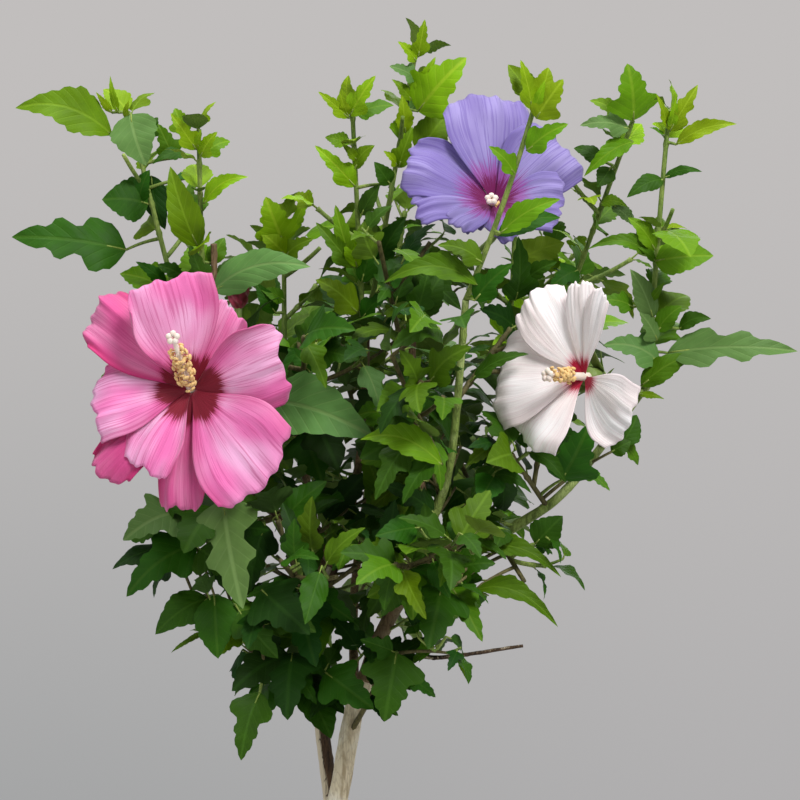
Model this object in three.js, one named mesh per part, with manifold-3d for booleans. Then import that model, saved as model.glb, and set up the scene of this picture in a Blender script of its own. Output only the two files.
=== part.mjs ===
// A hibiscus shrub, rose of Sharon, with blooms of three colours, in a plain round plastic pot.
// Millimetres, +Z up. The origin is the middle of the pot's flat underside. The front faces -Y.
// Two stems rise from the soil and cross. Boughs fork off them, and each bough carries leafy
// shoots. Every shoot grows by one seeded rule inside the space that its neighbours leave free.

import * as THREE from 'three';
import { mergeVertices } from 'three/addons/utils/BufferGeometryUtils.js';
import Module from 'manifold-3d';

const wasm = await Module();
wasm.setup();

// ---------------------------------------------------------------- driving dimensions

const GAP = 0.3;          // air between two solids that meet
const CLEAR = 0.7;        // least air between a leaf or twig and anything of another shoot
const OWN_CLEAR = 0.3;    // the same between the leaves of one shoot
const GRIDS = [0.005, 0.002, 0.01, 0.001, 0.02];   // corners closer than this are welded

const POT = { high: 150, rimWide: 176, footWide: 128, wall: 3.5, lip: 5, lipHigh: 16, sides: 24 };
const DRAIN = { count: 4, wide: 9, ring: 36, sides: 8 };
const SOIL_TOP = 137;
const STEM_FOOT = SOIL_TOP + GAP;

// Each limb: the limb that it springs from and how far along that one, the points it runs
// through, and its thickness at foot and tip. The two stems stand on the soil instead.
const LIMBS = {
  stem_light: { points: [[-21, -8, STEM_FOOT], [-14, -9, 190], [-1, -10, 246], [6, -8, 284], [12, -5, 300]],
    thick: [9.4, 8.8], flare: 8, knot: 0.82, sides: 9 },
  stem_dark: { points: [[10, 12, STEM_FOOT], [3, 10, 190], [-5, 8, 247], [-10, 12, 294], [-7, 12, 339],
    [1, 8, 359]], thick: [8.4, 4.8], flare: 7, sides: 8 },
  bough_right_low: { on: 'stem_light', at: 1, points: [[18, -6, 319], [32, -8, 343], [52, -10, 356]],
    thick: [7.6, 5.8] },
  bough_right_arch: { on: 'bough_right_low', at: 1, points: [[84, -12, 374], [106, -10, 391], [141, -5, 436]],
    thick: [5.4, 3.4] },
  bough_left: { on: 'stem_dark', at: 0.92, points: [[-18, 0, 370], [-34, -4, 381], [-53, -8, 411],
    [-68, -8, 452]], thick: [4.8, 3.4] },
  bough_left_up: { on: 'stem_dark', at: 0.81, points: [[-13, 28, 372], [-20, 40, 408], [-27, 44, 436]],
    thick: [4.2, 3.4] },
  bough_mid: { on: 'stem_dark', at: 1, points: [[10, 22, 409], [12, 24, 460]], thick: [4.4, 3.4] },
  bough_centre: { on: 'bough_right_low', at: 0.5, points: [[42, -18, 374], [51, -27, 406], [57, -42, 476]],
    thick: [4.8, 3.2] },
  bough_up: { on: 'bough_centre', at: 0.3, points: [[36, 8, 400], [33, 18, 428], [34, 20, 475]],
    thick: [4, 3.2] },
  bough_back: { on: 'stem_light', at: 0.78, points: [[6, 50, 336], [13, 100, 389]], thick: [4.6, 3.4] },
  bough_back_right: { on: 'bough_right_low', at: 0.75, points: [[66, 55, 385], [93, 80, 430]],
    thick: [4.4, 3.4] },
  dead_twig: { on: 'bough_right_low', at: 0.1, points: [[32, -22, 313], [49, -30, 314], [83, -38, 320]],
    thick: [2.6, 1.4] },
  pruned_stub: { on: 'bough_left', at: 0.78, points: [[-56, -28, 460], [-56, -34, 501]], thick: [3, 2.8] },
};

// How fast the flare at a stem's foot fades, the knot of the light stem, and how finely limbs are cut.
const LIMB = { flareFade: 22, knotHigh: 1.3, knotLong: 0.03, stemSteps: 16, sides: 6 };

// Each leafy shoot: the limb that carries it and where, the tip of its stem, how early the stem
// sweeps outward (0.5 is straight), its side twigs and their reach, the spacing of its leaves,
// the length of a leaf low on the shoot and at its top, and how far the leaves hang.
// A row of `shown` is a leaf with a place of its own: [how far up the stem, tip x, y, z, long, wide].
const SHOOTS = {
  shoot_left_outer: { on: 'bough_left', at: 1, tip: [-97, 10, 561], sweep: 0.55, twigs: 2, reach: 24,
    spacing: 14.5, leaf: [36, 19], hang: 0.1,
    shown: [[0.85, -146, -8, 565, 46, 23], [0.5, -149, -10, 503, 54, 26], [0.62, -110, 15, 523, 22, 16],
      [0.97, -97, -12, 533, 26, 18], [1, -106, 10, 578, 18, 8], [1, -92, 6, 580, 15, 7]] },
  shoot_left_inner: { on: 'bough_left', at: 0.86, tip: [-62, -45, 552], sweep: 0.8, twigs: 1, reach: 20,
    spacing: 14.5, leaf: [34, 18], hang: 0.1,
    shown: [[0.9, -42, -58, 531, 20, 12], [0.98, -75, -42, 562, 17, 9], [1, -48, -50, 550, 15, 9],
      [0.62, -77, -62, 532, 30, 15]] },
  shoot_pale: { on: 'bough_left_up', at: 1, tip: [-27, 40, 510], sweep: 0.5, twigs: 2, reach: 22,
    spacing: 14.5, leaf: [38, 22], hang: 0.1,
    shown: [[0.6, -57, 18, 490, 40, 20], [0.95, -39, 30, 508, 18, 13], [1, -37, 44, 522, 16, 11]] },
  shoot_tall_left: { on: 'bough_mid', at: 0.8, tip: [6, -12, 560], sweep: 0.5, twigs: 1, reach: 26,
    spacing: 14.5, leaf: [40, 22], hang: 0.1,
    shown: [[0.99, -8, -15, 571, 17, 9], [1, 17, -14, 577, 20, 11], [0.8, -9, -14, 543, 18, 9],
      [0.8, 19, -2, 543, 16, 10]] },
  shoot_tall_mid: { on: 'bough_mid', at: 1, tip: [35, 20, 590], sweep: 0.5, twigs: 2, reach: 24,
    spacing: 14.5, leaf: [36, 19], hang: 0.05,
    shown: [[1, 37, 18, 605, 17, 9], [0.82, 60, 5, 583, 30, 17], [0.9, 24, 22, 588, 17, 9],
      [0.8, 52, 28, 572, 20, 12]] },
  shoot_front: { on: 'bough_centre', at: 1, tip: [87, -76, 564], sweep: 0.6, twigs: 0, reach: 20,
    spacing: 14.5, leaf: [32, 17], hang: 0.1,
    shown: [[1, 82, -80, 581, 16, 8], [0.96, 100, -68, 573, 19, 10], [0.78, 65, -85, 541, 15, 8],
      [0.78, 100, -86, 550, 17, 9]] },
  shoot_between: { on: 'bough_back_right', at: 0.72, tip: [82, 55, 505], sweep: 0.5, twigs: 2, reach: 24,
    spacing: 14.5, leaf: [40, 26], hang: 0.2, shown: [] },
  shoot_right_inner: { on: 'bough_back_right', at: 1, tip: [136, 26, 558], sweep: 0.5, twigs: 2, reach: 26,
    spacing: 14.5, leaf: [38, 21], hang: 0.1,
    shown: [[1, 133, 22, 585, 32, 24], [0.92, 113, 34, 559, 20, 13], [0.8, 110, 18, 531, 30, 14],
      [1, 118, 40, 573, 18, 10]] },
  shoot_right_outer: { on: 'bough_right_arch', at: 1, tip: [150, -12, 562], sweep: 0.4, twigs: 1, reach: 22,
    spacing: 14.5, leaf: [36, 19], hang: 0.1,
    shown: [[1, 160, -10, 574, 16, 8], [0.95, 180, -14, 556, 26, 9], [0.72, 165, -8, 535, 17, 8],
      [0.4, 170, -20, 493, 27, 15], [0.66, 119, -4, 519, 24, 11], [0.02, 209, -10, 459, 52, 18],
      [0.12, 169, -18, 465, 26, 16], [0.1, 122, -20, 460, 26, 16], [0.03, 148, -20, 428, 16, 9]] },
  leaves_left_low: { on: 'bough_left', at: 0.4, tip: [-74, -32, 362], sweep: 0.6, twigs: 2, reach: 26,
    spacing: 14, leaf: [46, 36], hang: 0.7,
    shown: [[1, -97, -50, 365, 28, 20], [0.9, -98, -38, 344, 34, 24], [0.6, -43, -72, 341, 48, 24],
      [0.85, -83, -36, 326, 30, 22], [0.5, -76, -20, 315, 17, 8]] },
  leaves_low_left: { on: 'stem_dark', at: 0.62, tip: [-34, -38, 308], sweep: 0.6, twigs: 2, reach: 20,
    spacing: 13, leaf: [42, 34], hang: 0.7,
    shown: [[0.95, -38, -58, 290, 38, 30], [1, -46, -48, 273, 32, 18], [0.5, -45, -56, 338, 36, 26]] },
  leaves_low_centre: { on: 'stem_light', at: 0.68, tip: [26, -50, 318], sweep: 0.5, twigs: 2, reach: 18,
    spacing: 13, leaf: [32, 28], hang: 0.5,
    shown: [[1, 20, -62, 288, 32, 22], [0.6, 1, -50, 290, 32, 24]] },
  leaves_low_right: { on: 'bough_right_arch', at: 0.2, tip: [84, -28, 348], sweep: 0.5, twigs: 1, reach: 20,
    spacing: 13, leaf: [32, 24], hang: 0.5,
    shown: [[0.6, 100, -20, 352, 34, 14], [1, 99, -34, 329, 34, 13], [0.3, 93, -34, 365, 22, 14]] },
  leaves_mid_right: { on: 'bough_right_arch', at: 0.5, tip: [78, -32, 406], sweep: 0.5, twigs: 2, reach: 24,
    spacing: 13, leaf: [34, 28], hang: 0.4,
    shown: [[0.05, 133, -24, 409, 28, 14], [0.1, 118, -26, 401, 24, 14]] },
  leaves_centre_left: { on: 'bough_left_up', at: 0.6, tip: [-15, -55, 460], sweep: 0.5, twigs: 4, reach: 34,
    spacing: 14, leaf: [46, 36], hang: 0.5, shown: [] },
  leaves_centre: { on: 'bough_centre', at: 0.55, tip: [24, -64, 452], sweep: 0.5, twigs: 3, reach: 32,
    spacing: 14, leaf: [46, 34], hang: 0.5, shown: [] },
  leaves_centre_right: { on: 'bough_centre', at: 0.8, tip: [78, -6, 462], sweep: 0.5, twigs: 2, reach: 26,
    spacing: 14, leaf: [42, 32], hang: 0.4, shown: [] },
  leaves_centre_low: { on: 'bough_right_low', at: 0.85, tip: [26, -92, 362], sweep: 0.5, twigs: 4, reach: 34,
    spacing: 13, leaf: [40, 32], hang: 0.6, shown: [] },
  leaves_inner_left: { on: 'stem_dark', at: 0.75, tip: [-25, -72, 362], sweep: 0.5, twigs: 3, reach: 32,
    spacing: 13, leaf: [42, 34], hang: 0.6, shown: [] },
  leaves_centre_upper: { on: 'bough_up', at: 0.7, tip: [18, -28, 502], sweep: 0.5, twigs: 2, reach: 26,
    spacing: 13, leaf: [42, 30], hang: 0.3, shown: [] },
  leaves_back_left: { on: 'bough_left', at: 0.55, tip: [-62, 84, 408], sweep: 0.6, twigs: 4, reach: 34,
    spacing: 16, leaf: [48, 38], hang: 0.5, shown: [] },
  leaves_back_centre: { on: 'bough_back', at: 1, tip: [-4, 118, 460], sweep: 0.6, twigs: 3, reach: 32,
    spacing: 16, leaf: [46, 34], hang: 0.4, shown: [] },
  leaves_back_right: { on: 'bough_back_right', at: 0.45, tip: [44, 116, 430], sweep: 0.6, twigs: 3, reach: 32,
    spacing: 16, leaf: [46, 36], hang: 0.5, shown: [] },
  leaves_back_low: { on: 'bough_back', at: 0.45, tip: [-16, 92, 332], sweep: 0.6, twigs: 3, reach: 30,
    spacing: 16, leaf: [48, 38], hang: 0.6, shown: [] },
  shoot_back_left: { on: 'bough_left_up', at: 0.82, tip: [-40, 86, 488], sweep: 0.7, twigs: 2, reach: 26,
    spacing: 15, leaf: [40, 24], hang: 0.2, shown: [] },
  shoot_back_mid: { on: 'bough_back', at: 0.86, tip: [30, 84, 516], sweep: 0.4, twigs: 3, reach: 26,
    spacing: 15, leaf: [40, 22], hang: 0.2, shown: [] },
  shoot_back_right: { on: 'bough_back_right', at: 0.9, tip: [98, 112, 500], sweep: 0.7, twigs: 3, reach: 26,
    spacing: 15, leaf: [40, 24], hang: 0.2, shown: [] },
};

// Each bloom: the limb that carries it, the middle of the open flower, the way it faces, the
// length of its column, and its petals. A petal is [turn round the flower, as a clock hand seen
// from the front, long, wide, opening from the column], in degrees and millimetres.
const BLOOMS = {
  bloom_pink: { on: 'bough_left', at: 0.93, middle: [-63, -88, 438], faces: [-0.1, -0.97, 0.2], column: 32,
    petals: [[-52, 54, 30, 76], [-10, 52, 42, 70], [64, 47, 40, 74], [126, 58, 44, 74], [180, 57, 30, 78],
      [224, 52, 32, 72], [266, 44, 30, 78]], colour: 0xee8fc3 },
  bloom_violet: { on: 'bough_up', at: 1, middle: [70, -8, 519], faces: [0.02, -0.82, 0.57], column: 20,
    petals: [[-4, 49, 40, 68], [58, 46, 38, 68], [112, 42, 32, 66], [196, 34, 26, 62], [258, 42, 30, 70],
      [304, 45, 30, 66]], colour: 0xada0d8 },
  bloom_white: { on: 'bough_right_arch', at: 0.8, middle: [110, -48, 442], faces: [-0.62, -0.77, 0.14],
    column: 26, petals: [[-44, 44, 30, 68], [4, 44, 17, 70], [128, 38, 32, 72], [-100, 43, 40, 72],
      [-150, 40, 32, 70]], colour: 0xf4ebe8 },
};
const CALYX = { long: 15, wide: 12, at: 0.88, stalk: 3 };
const COLUMN = { thin: 2.2, thick: 4.4, sunk: 3 };
const PETAL = { thick: 1.6, twist: 12, curl: 0.14, heart: 4.5 };
const BUD = { on: 'bough_left', at: 0.66, middle: [-45, -36, 474], long: 15, wide: 9, stalk: 2.4 };

// A leaf's sizes as shares of its length; how much it turns its face to the crown's outside, and
// to the front: little for a grown leaf, more for a shown one; and its roll in degrees.
const LEAF = { thick: 0.032, widest: 0.5, wide: [0.6, 0.78], arch: 0.1, fold: 0.05, outward: 0.6,
  front: 0.2, shownFront: 1.6, roll: 30, lean: [1.1, 2.2], tipLean: 0.5, vary: [0.85, 1.15], small: 0.7 };
const TWIG = { stem: [1.35, 1.1], side: [1.2, 1], step: 26, from: 0.25, to: 0.8, vary: [0.8, 1.15],
  lift: 0.15, forward: 0.6, tries: 12, shortest: 4 };
const CROWN = { middle: [25, 0], golden: 137.5 };

// ---------------------------------------------------------------- shapes

const material = (color, roughness) => new THREE.MeshStandardMaterial({ color, roughness, metalness: 0 });
const vec = (point) => new THREE.Vector3(...point);
const mix = (a, b, t) => a + (b - a) * t;
const radians = THREE.MathUtils.degToRad;

// A repeatable stream of numbers from 0 to 1 (mulberry32).
function stream(seed) {
  let state = seed >>> 0;
  return () => {
    state = (state + 0x6d2b79f5) >>> 0;
    let word = Math.imul(state ^ (state >>> 15), state | 1);
    word ^= word + Math.imul(word ^ (word >>> 7), word | 61);
    return ((word ^ (word >>> 14)) >>> 0) / 4294967296;
  };
}

function toSolid(geometry) {
  const bare = geometry.clone();
  bare.deleteAttribute('normal');
  bare.deleteAttribute('uv');
  const merged = mergeVertices(bare, 1e-5);
  const vertProperties = new Float32Array(merged.attributes.position.array);
  const triVerts = new Uint32Array(merged.index.array);
  return new wasm.Manifold(new wasm.Mesh({ numProp: 3, vertProperties, triVerts }));
}

// A mesh with its corners on a grid, and without the faces that close up there.
function onGrid(mesh, grid) {
  const spots = Float32Array.from(mesh.vertProperties, (value) => Math.round(value / grid) * grid);
  const bare = new THREE.BufferGeometry();
  bare.setAttribute('position', new THREE.BufferAttribute(spots, 3));
  bare.setIndex(new THREE.BufferAttribute(mesh.triVerts, 1));
  const geometry = mergeVertices(bare, grid / 4);
  const corners = geometry.index.array;
  const faces = new Map();
  for (let i = 0; i < corners.length; i += 3) {
    const face = [...corners.subarray(i, i + 3)];
    const key = [...face].sort((a, b) => a - b).join();
    if (faces.has(key)) {
      faces.delete(key);
    } else if (new Set(face).size === 3) {
      faces.set(key, face);
    }
  }
  geometry.setIndex([...faces.values()].flat());
  return geometry;
}

// A closed mesh has each edge once in each direction.
function isClosed(geometry) {
  const corners = geometry.index.array;
  const edges = new Set();
  for (let i = 0; i < corners.length; i += 1) {
    const next = i % 3 === 2 ? i - 2 : i + 1;
    edges.add(`${corners[i]},${corners[next]}`);
  }
  const paired = [...edges].every((edge) => edges.has(edge.split(',').reverse().join()));
  return paired && edges.size === corners.length;
}

// A solid's mesh, welded on the first grid that leaves it closed.
function toGeometry(solid) {
  const mesh = solid.getMesh();
  const tries = GRIDS.map((grid) => onGrid(mesh, grid));
  return tries.find(isClosed) ?? tries[0];
}

const join = (solids) => solids.reduce((whole, solid) => whole.add(solid));

// A tapering tube: a cylinder whose rings are moved onto the curve. Level rings give a stem a
// flat cut at its foot.
function tube(curve, radius, sides, steps, level = false) {
  const geometry = new THREE.CylinderGeometry(1, 1, 1, sides, steps);
  const frames = curve.computeFrenetFrames(steps, false);
  const position = geometry.attributes.position;
  for (let i = 0; i < position.count; i += 1) {
    const t = position.getY(i) + 0.5;
    const ring = Math.round(t * steps);
    const across = level ? vec([1, 0, 0]) : frames.normals[ring];
    const beside = level ? vec([0, 1, 0]) : frames.binormals[ring];
    const spot = curve.getPoint(t);
    spot.addScaledVector(across, position.getX(i) * radius(t));
    spot.addScaledVector(beside, -position.getZ(i) * radius(t));
    position.setXYZ(i, spot.x, spot.y, spot.z);
  }
  return geometry;
}

// A thin blade: a ring of outline points with a raised middle above and below.
function blade(outline, middle, normal, thick) {
  const points = [...outline, middle.clone().addScaledVector(normal, thick / 2),
    middle.clone().addScaledVector(normal, -thick / 2)];
  const top = outline.length;
  const faces = [];
  outline.forEach((point, i) => {
    const next = (i + 1) % outline.length;
    faces.push(i, next, top, next, i, top + 1);
  });
  const geometry = new THREE.BufferGeometry();
  geometry.setAttribute('position', new THREE.Float32BufferAttribute(points.flatMap((p) => p.toArray()), 3));
  geometry.setIndex(faces);
  return geometry;
}

// ---------------------------------------------------------------- room between pieces

// A piece is a convex shape, the hull of a few points with a skin round it.
function piece(owner, points, skin) {
  const centre = points.reduce((sum, p) => sum.add(p), vec([0, 0, 0])).divideScalar(points.length);
  const reach = Math.max(...points.map((p) => p.distanceTo(centre))) + skin;
  return { owner, points, skin, centre, reach };
}

function furthest(points, way) {
  return points.reduce((best, p) => (p.dot(way) > best.dot(way) ? p : best));
}

// Two pieces are apart when some direction shows air between them. It starts as the line
// between their centres and is turned step by step toward the shortest distance.
function apart(a, b, air) {
  const need = air + a.skin + b.skin;
  const way = a.centre.clone().sub(b.centre);
  if (way.length() > a.reach + b.reach + air) {
    return true;
  }
  for (let step = 0; step < 24; step += 1) {
    const size = way.length();
    if (size < 1e-6) {
      return false;
    }
    const near = furthest(a.points, way.clone().negate()).clone().sub(furthest(b.points, way));
    if (near.dot(way) / size > need) {
      return true;
    }
    const turn = way.clone().sub(near);
    const share = THREE.MathUtils.clamp(way.dot(turn) / Math.max(turn.lengthSq(), 1e-9), 0, 1);
    way.addScaledVector(turn, -share);
  }
  return false;
}

function alongCurve(owner, curve, radius, steps) {
  const pieces = [];
  for (let i = 0; i < steps; i += 1) {
    const ends = [curve.getPoint(i / steps), curve.getPoint((i + 1) / steps)];
    pieces.push(piece(owner, ends, Math.max(radius(i / steps), radius((i + 1) / steps))));
  }
  return pieces;
}

// ---------------------------------------------------------------- pot and soil

const shrub = new THREE.Group();

function place(name, solid, look) {
  const mesh = new THREE.Mesh(toGeometry(solid), look);
  mesh.name = name;
  shrub.add(mesh);
}

function lathe(profile, sides) {
  const points = profile.map(([r, z]) => new THREE.Vector2(r, z));
  return toSolid(new THREE.LatheGeometry(points, sides).rotateX(Math.PI / 2));
}

const potRadius = (z) => mix(POT.footWide, POT.rimWide, z / POT.high) / 2;

function makePot() {
  const { high, wall, lip, sides } = POT;
  const lipFoot = high - POT.lipHigh;
  const outside = [[0, 0], [potRadius(0), 0], [potRadius(lipFoot), lipFoot],
    [potRadius(lipFoot) + lip, lipFoot + 2], [potRadius(high) + lip, high]];
  const inside = [[potRadius(high) - wall, high], [potRadius(wall) - wall, wall], [0, wall]];
  const holes = Array.from({ length: DRAIN.count }, (_, i) => {
    const turn = ((i + 0.5) * 2 * Math.PI) / DRAIN.count;
    const hole = new THREE.CylinderGeometry(DRAIN.wide / 2, DRAIN.wide / 2, wall * 3, DRAIN.sides);
    hole.rotateX(Math.PI / 2).translate(Math.cos(turn) * DRAIN.ring, Math.sin(turn) * DRAIN.ring, 0);
    return toSolid(hole);
  });
  return holes.reduce((pot, hole) => pot.subtract(hole), lathe([...outside, ...inside], sides));
}

function makeSoil() {
  const bottom = POT.wall + GAP;
  const inner = (z) => potRadius(z) - POT.wall - 2 * GAP;
  const profile = [[0, bottom], [inner(bottom), bottom], [inner(SOIL_TOP), SOIL_TOP], [0, SOIL_TOP]];
  return lathe(profile, POT.sides);
}

place('pot', makePot(), material(0x5b5a57, 0.6));
place('soil', makeSoil(), material(0x3a2a1d, 0.95));

// ---------------------------------------------------------------- stems and boughs

const BARK = { stem_light: 0x9b8e6d, stem_dark: 0x4a3a28, bough_right_arch: 0x7d8560, bough_centre: 0x5f6f3c,
  dead_twig: 0x5c4c38, pruned_stub: 0xa08a5c, other: 0x6b5a40 };
const limbs = {};
const taken = [];

const cutByHost = (solid, host) => solid.subtract(limbs[host].air);

for (const [name, limb] of Object.entries(LIMBS)) {
  const points = limb.points.map(vec);
  if (limb.on) {
    points.unshift(limbs[limb.on].curve.getPoint(limb.at));
  }
  const curve = new THREE.CatmullRomCurve3(points, false, 'catmullrom', 0.5);
  const radius = (t) => {
    const flare = limb.flare ? (limb.flare / 2) * Math.exp(-t * LIMB.flareFade) : 0;
    const knot = limb.knot ? LIMB.knotHigh * Math.exp(-(((t - limb.knot) / LIMB.knotLong) ** 2)) : 0;
    return mix(...limb.thick, t) / 2 + flare + knot;
  };
  const steps = limb.on ? points.length * 2 - 1 : LIMB.stemSteps;
  const sides = limb.sides ?? LIMB.sides;
  const skin = (t) => radius(t) + GAP;
  const tip = curve.getPoint(1);
  tip.addScaledVector(curve.getTangent(1), GAP);
  const past = new THREE.LineCurve3(curve.getPoint(0.99), tip);
  // The limb with a skin of air round it and past its tip cuts whatever springs from it.
  const level = !limb.on;
  const ends = toSolid(tube(past, () => skin(1), sides, 1, level));
  limbs[name] = { curve, air: toSolid(tube(curve, skin, sides, steps, level)).add(ends) };
  const solid = toSolid(tube(curve, radius, sides, steps, level));
  place(name, limb.on ? cutByHost(solid, limb.on) : solid, material(BARK[name] ?? BARK.other, 0.9));
  taken.push(...alongCurve(name, curve, radius, steps));
}

// ---------------------------------------------------------------- blooms

// Points on a petal: u runs from the flower's middle to the petal's rim, v across it.
const PETAL_OUTLINE = [[0.04, 0], [0.4, 0.38], [0.78, 0.5], [1, 0.16], [1, -0.16], [0.78, -0.5],
  [0.4, -0.38]];

function makeBloom(name, bloom) {
  const middle = vec(bloom.middle);
  const face = vec(bloom.faces).normalize();
  const right = vec([0, 0, 1]).cross(face).normalize();
  const up = face.clone().cross(right);
  const rear = middle.clone().addScaledVector(face, -CALYX.long);
  const foot = limbs[bloom.on].curve.getPoint(bloom.at);
  const bend = rear.clone().addScaledVector(face, -CALYX.long);
  const stalk = new THREE.CatmullRomCurve3([foot, bend, rear, middle], false, 'catmullrom', 0.5);
  const swell = (t) => Math.max(0, 1 - Math.abs(t - CALYX.at) * 6);
  const stalkRadius = (t) => mix(CALYX.stalk, CALYX.wide, swell(t)) / 2;
  const column = new THREE.LineCurve3(middle.clone().addScaledVector(face, -COLUMN.sunk),
    middle.clone().addScaledVector(face, bloom.column));
  const columnRadius = (t) => mix(COLUMN.thin, COLUMN.thick, t * t);
  const heart = new THREE.SphereGeometry(PETAL.heart, 8, 6).translate(middle.x, middle.y, middle.z);
  const solids = [toSolid(tube(stalk, stalkRadius, 6, 10)), toSolid(tube(column, columnRadius, 6, 3)),
    toSolid(heart)];
  const pieces = [...alongCurve(name, stalk, () => CALYX.stalk / 2 + 1, 8),
    ...alongCurve(name, column, () => COLUMN.thick, 2)];
  for (const [turn, long, wide, opening] of bloom.petals) {
    const outward = up.clone().multiplyScalar(Math.cos(radians(turn)))
      .addScaledVector(right, Math.sin(radians(turn)));
    const along = face.clone().multiplyScalar(Math.cos(radians(opening)))
      .addScaledVector(outward, Math.sin(radians(opening)));
    const side = along.clone().cross(face).normalize().applyAxisAngle(along, radians(PETAL.twist));
    const normal = side.clone().cross(along).normalize();
    const spot = (u, v) => middle.clone().addScaledVector(along, u * long).addScaledVector(side, v * wide)
      .addScaledVector(normal, -PETAL.curl * long * u * u);
    const outline = PETAL_OUTLINE.map(([u, v]) => spot(u, v));
    solids.push(toSolid(blade(outline, spot(0.5, 0), normal, PETAL.thick)));
    pieces.push(piece(name, [...outline, spot(0.5, 0)], PETAL.thick / 2));
  }
  return { solid: cutByHost(join(solids), bloom.on), pieces };
}

for (const [name, bloom] of Object.entries(BLOOMS)) {
  const made = makeBloom(name, bloom);
  place(name, made.solid, material(bloom.colour, 0.55));
  taken.push(...made.pieces);
}

function makeBud() {
  const middle = vec(BUD.middle);
  const foot = limbs[BUD.on].curve.getPoint(BUD.at);
  const curve = new THREE.QuadraticBezierCurve3(foot, new THREE.Vector3(middle.x, middle.y, foot.z), middle);
  const body = new THREE.SphereGeometry(0.5, 7, 5).scale(BUD.wide, BUD.wide, BUD.long);
  body.translate(middle.x, middle.y, middle.z + BUD.long / 3);
  const radius = () => BUD.stalk / 2;
  taken.push(...alongCurve('bud_crimson', curve, radius, 6));
  taken.push(piece('bud_crimson', [middle, middle.clone().setZ(middle.z + BUD.long * 0.7)], BUD.wide / 2));
  return cutByHost(join([toSolid(tube(curve, radius, 6, 8)), toSolid(body)]), BUD.on);
}

place('bud_crimson', makeBud(), material(0x8c1f2f, 0.6));

// ---------------------------------------------------------------- leafy shoots

const stemOf = {};
for (const [name, shoot] of Object.entries(SHOOTS)) {
  const foot = limbs[shoot.on].curve.getPoint(shoot.at);
  const tip = vec(shoot.tip);
  const bend = foot.clone().lerp(tip, shoot.sweep).setZ((foot.z + tip.z) / 2);
  const curve = new THREE.QuadraticBezierCurve3(foot, bend, tip);
  const steps = Math.ceil(curve.getLength() / TWIG.step);
  const radius = (t) => mix(...TWIG.stem, t);
  stemOf[name] = { curve, steps, radius };
  taken.push(...alongCurve(name, curve, radius, steps));
}

// The space of a shoot is every place that lies nearer to its stem than to another shoot's.
function inOwnSpace(name, point) {
  const distance = (other) => {
    let least = Infinity;
    for (let i = 0; i <= 6; i += 1) {
      least = Math.min(least, stemOf[other].curve.getPoint(i / 6).distanceTo(point));
    }
    return least;
  };
  const own = distance(name);
  return Object.keys(SHOOTS).every((other) => other === name || distance(other) > own);
}

function makeLeaf(name, root, tip, wide, roll, front) {
  const along = tip.clone().sub(root);
  const long = along.length();
  along.normalize();
  const outward = new THREE.Vector3(root.x - CROWN.middle[0], root.y - CROWN.middle[1], 0).normalize();
  const normal = vec([0, -front, 1]).addScaledVector(outward, LEAF.outward);
  normal.addScaledVector(along, -normal.dot(along)).normalize().applyAxisAngle(along, roll);
  const side = along.clone().cross(normal);
  const spot = (u, v, lift) => root.clone().addScaledVector(along, u * long).addScaledVector(side, v * wide)
    .addScaledVector(normal, lift * long);
  const left = spot(LEAF.widest, -0.5, LEAF.arch + LEAF.fold);
  const right = spot(LEAF.widest, 0.5, LEAF.arch + LEAF.fold);
  const middle = spot(LEAF.widest, 0, LEAF.arch);
  const thick = LEAF.thick * long;
  const sunk = root.clone().addScaledVector(along, -0.4);
  return {
    solid: () => toSolid(blade([sunk, right, tip, left], middle, normal, thick)),
    whole: piece(name, [root, left, tip, right, middle], thick / 2),
    free: piece(name, [spot(0.2, 0, 0), left, tip, right, middle], thick / 2),
    heart: middle,
  };
}

function leafFits(leaf) {
  return taken.every((other) => (other.owner === leaf.whole.owner
    ? apart(leaf.free, other, OWN_CLEAR) : apart(leaf.whole, other, CLEAR)));
}

function makeTwig(name, root, way, long, radius) {
  const bend = root.clone().addScaledVector(way, long / 2);
  const tip = root.clone().addScaledVector(way, long).add(vec([0, 0, long * TWIG.lift]));
  const curve = new THREE.QuadraticBezierCurve3(root, bend, tip);
  return { curve, steps: 2, radius, pieces: alongCurve(name, curve, radius, 2) };
}

// A twig fits when it is clear of all that belongs to others. Its first half springs from its
// own stem, so only its outer half is held against its own shoot.
function twigFits(name, twig) {
  return taken.every((other) => (other.owner === name
    ? apart(twig.pieces[1], other, OWN_CLEAR) : twig.pieces.every((part) => apart(part, other, CLEAR))));
}

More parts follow.
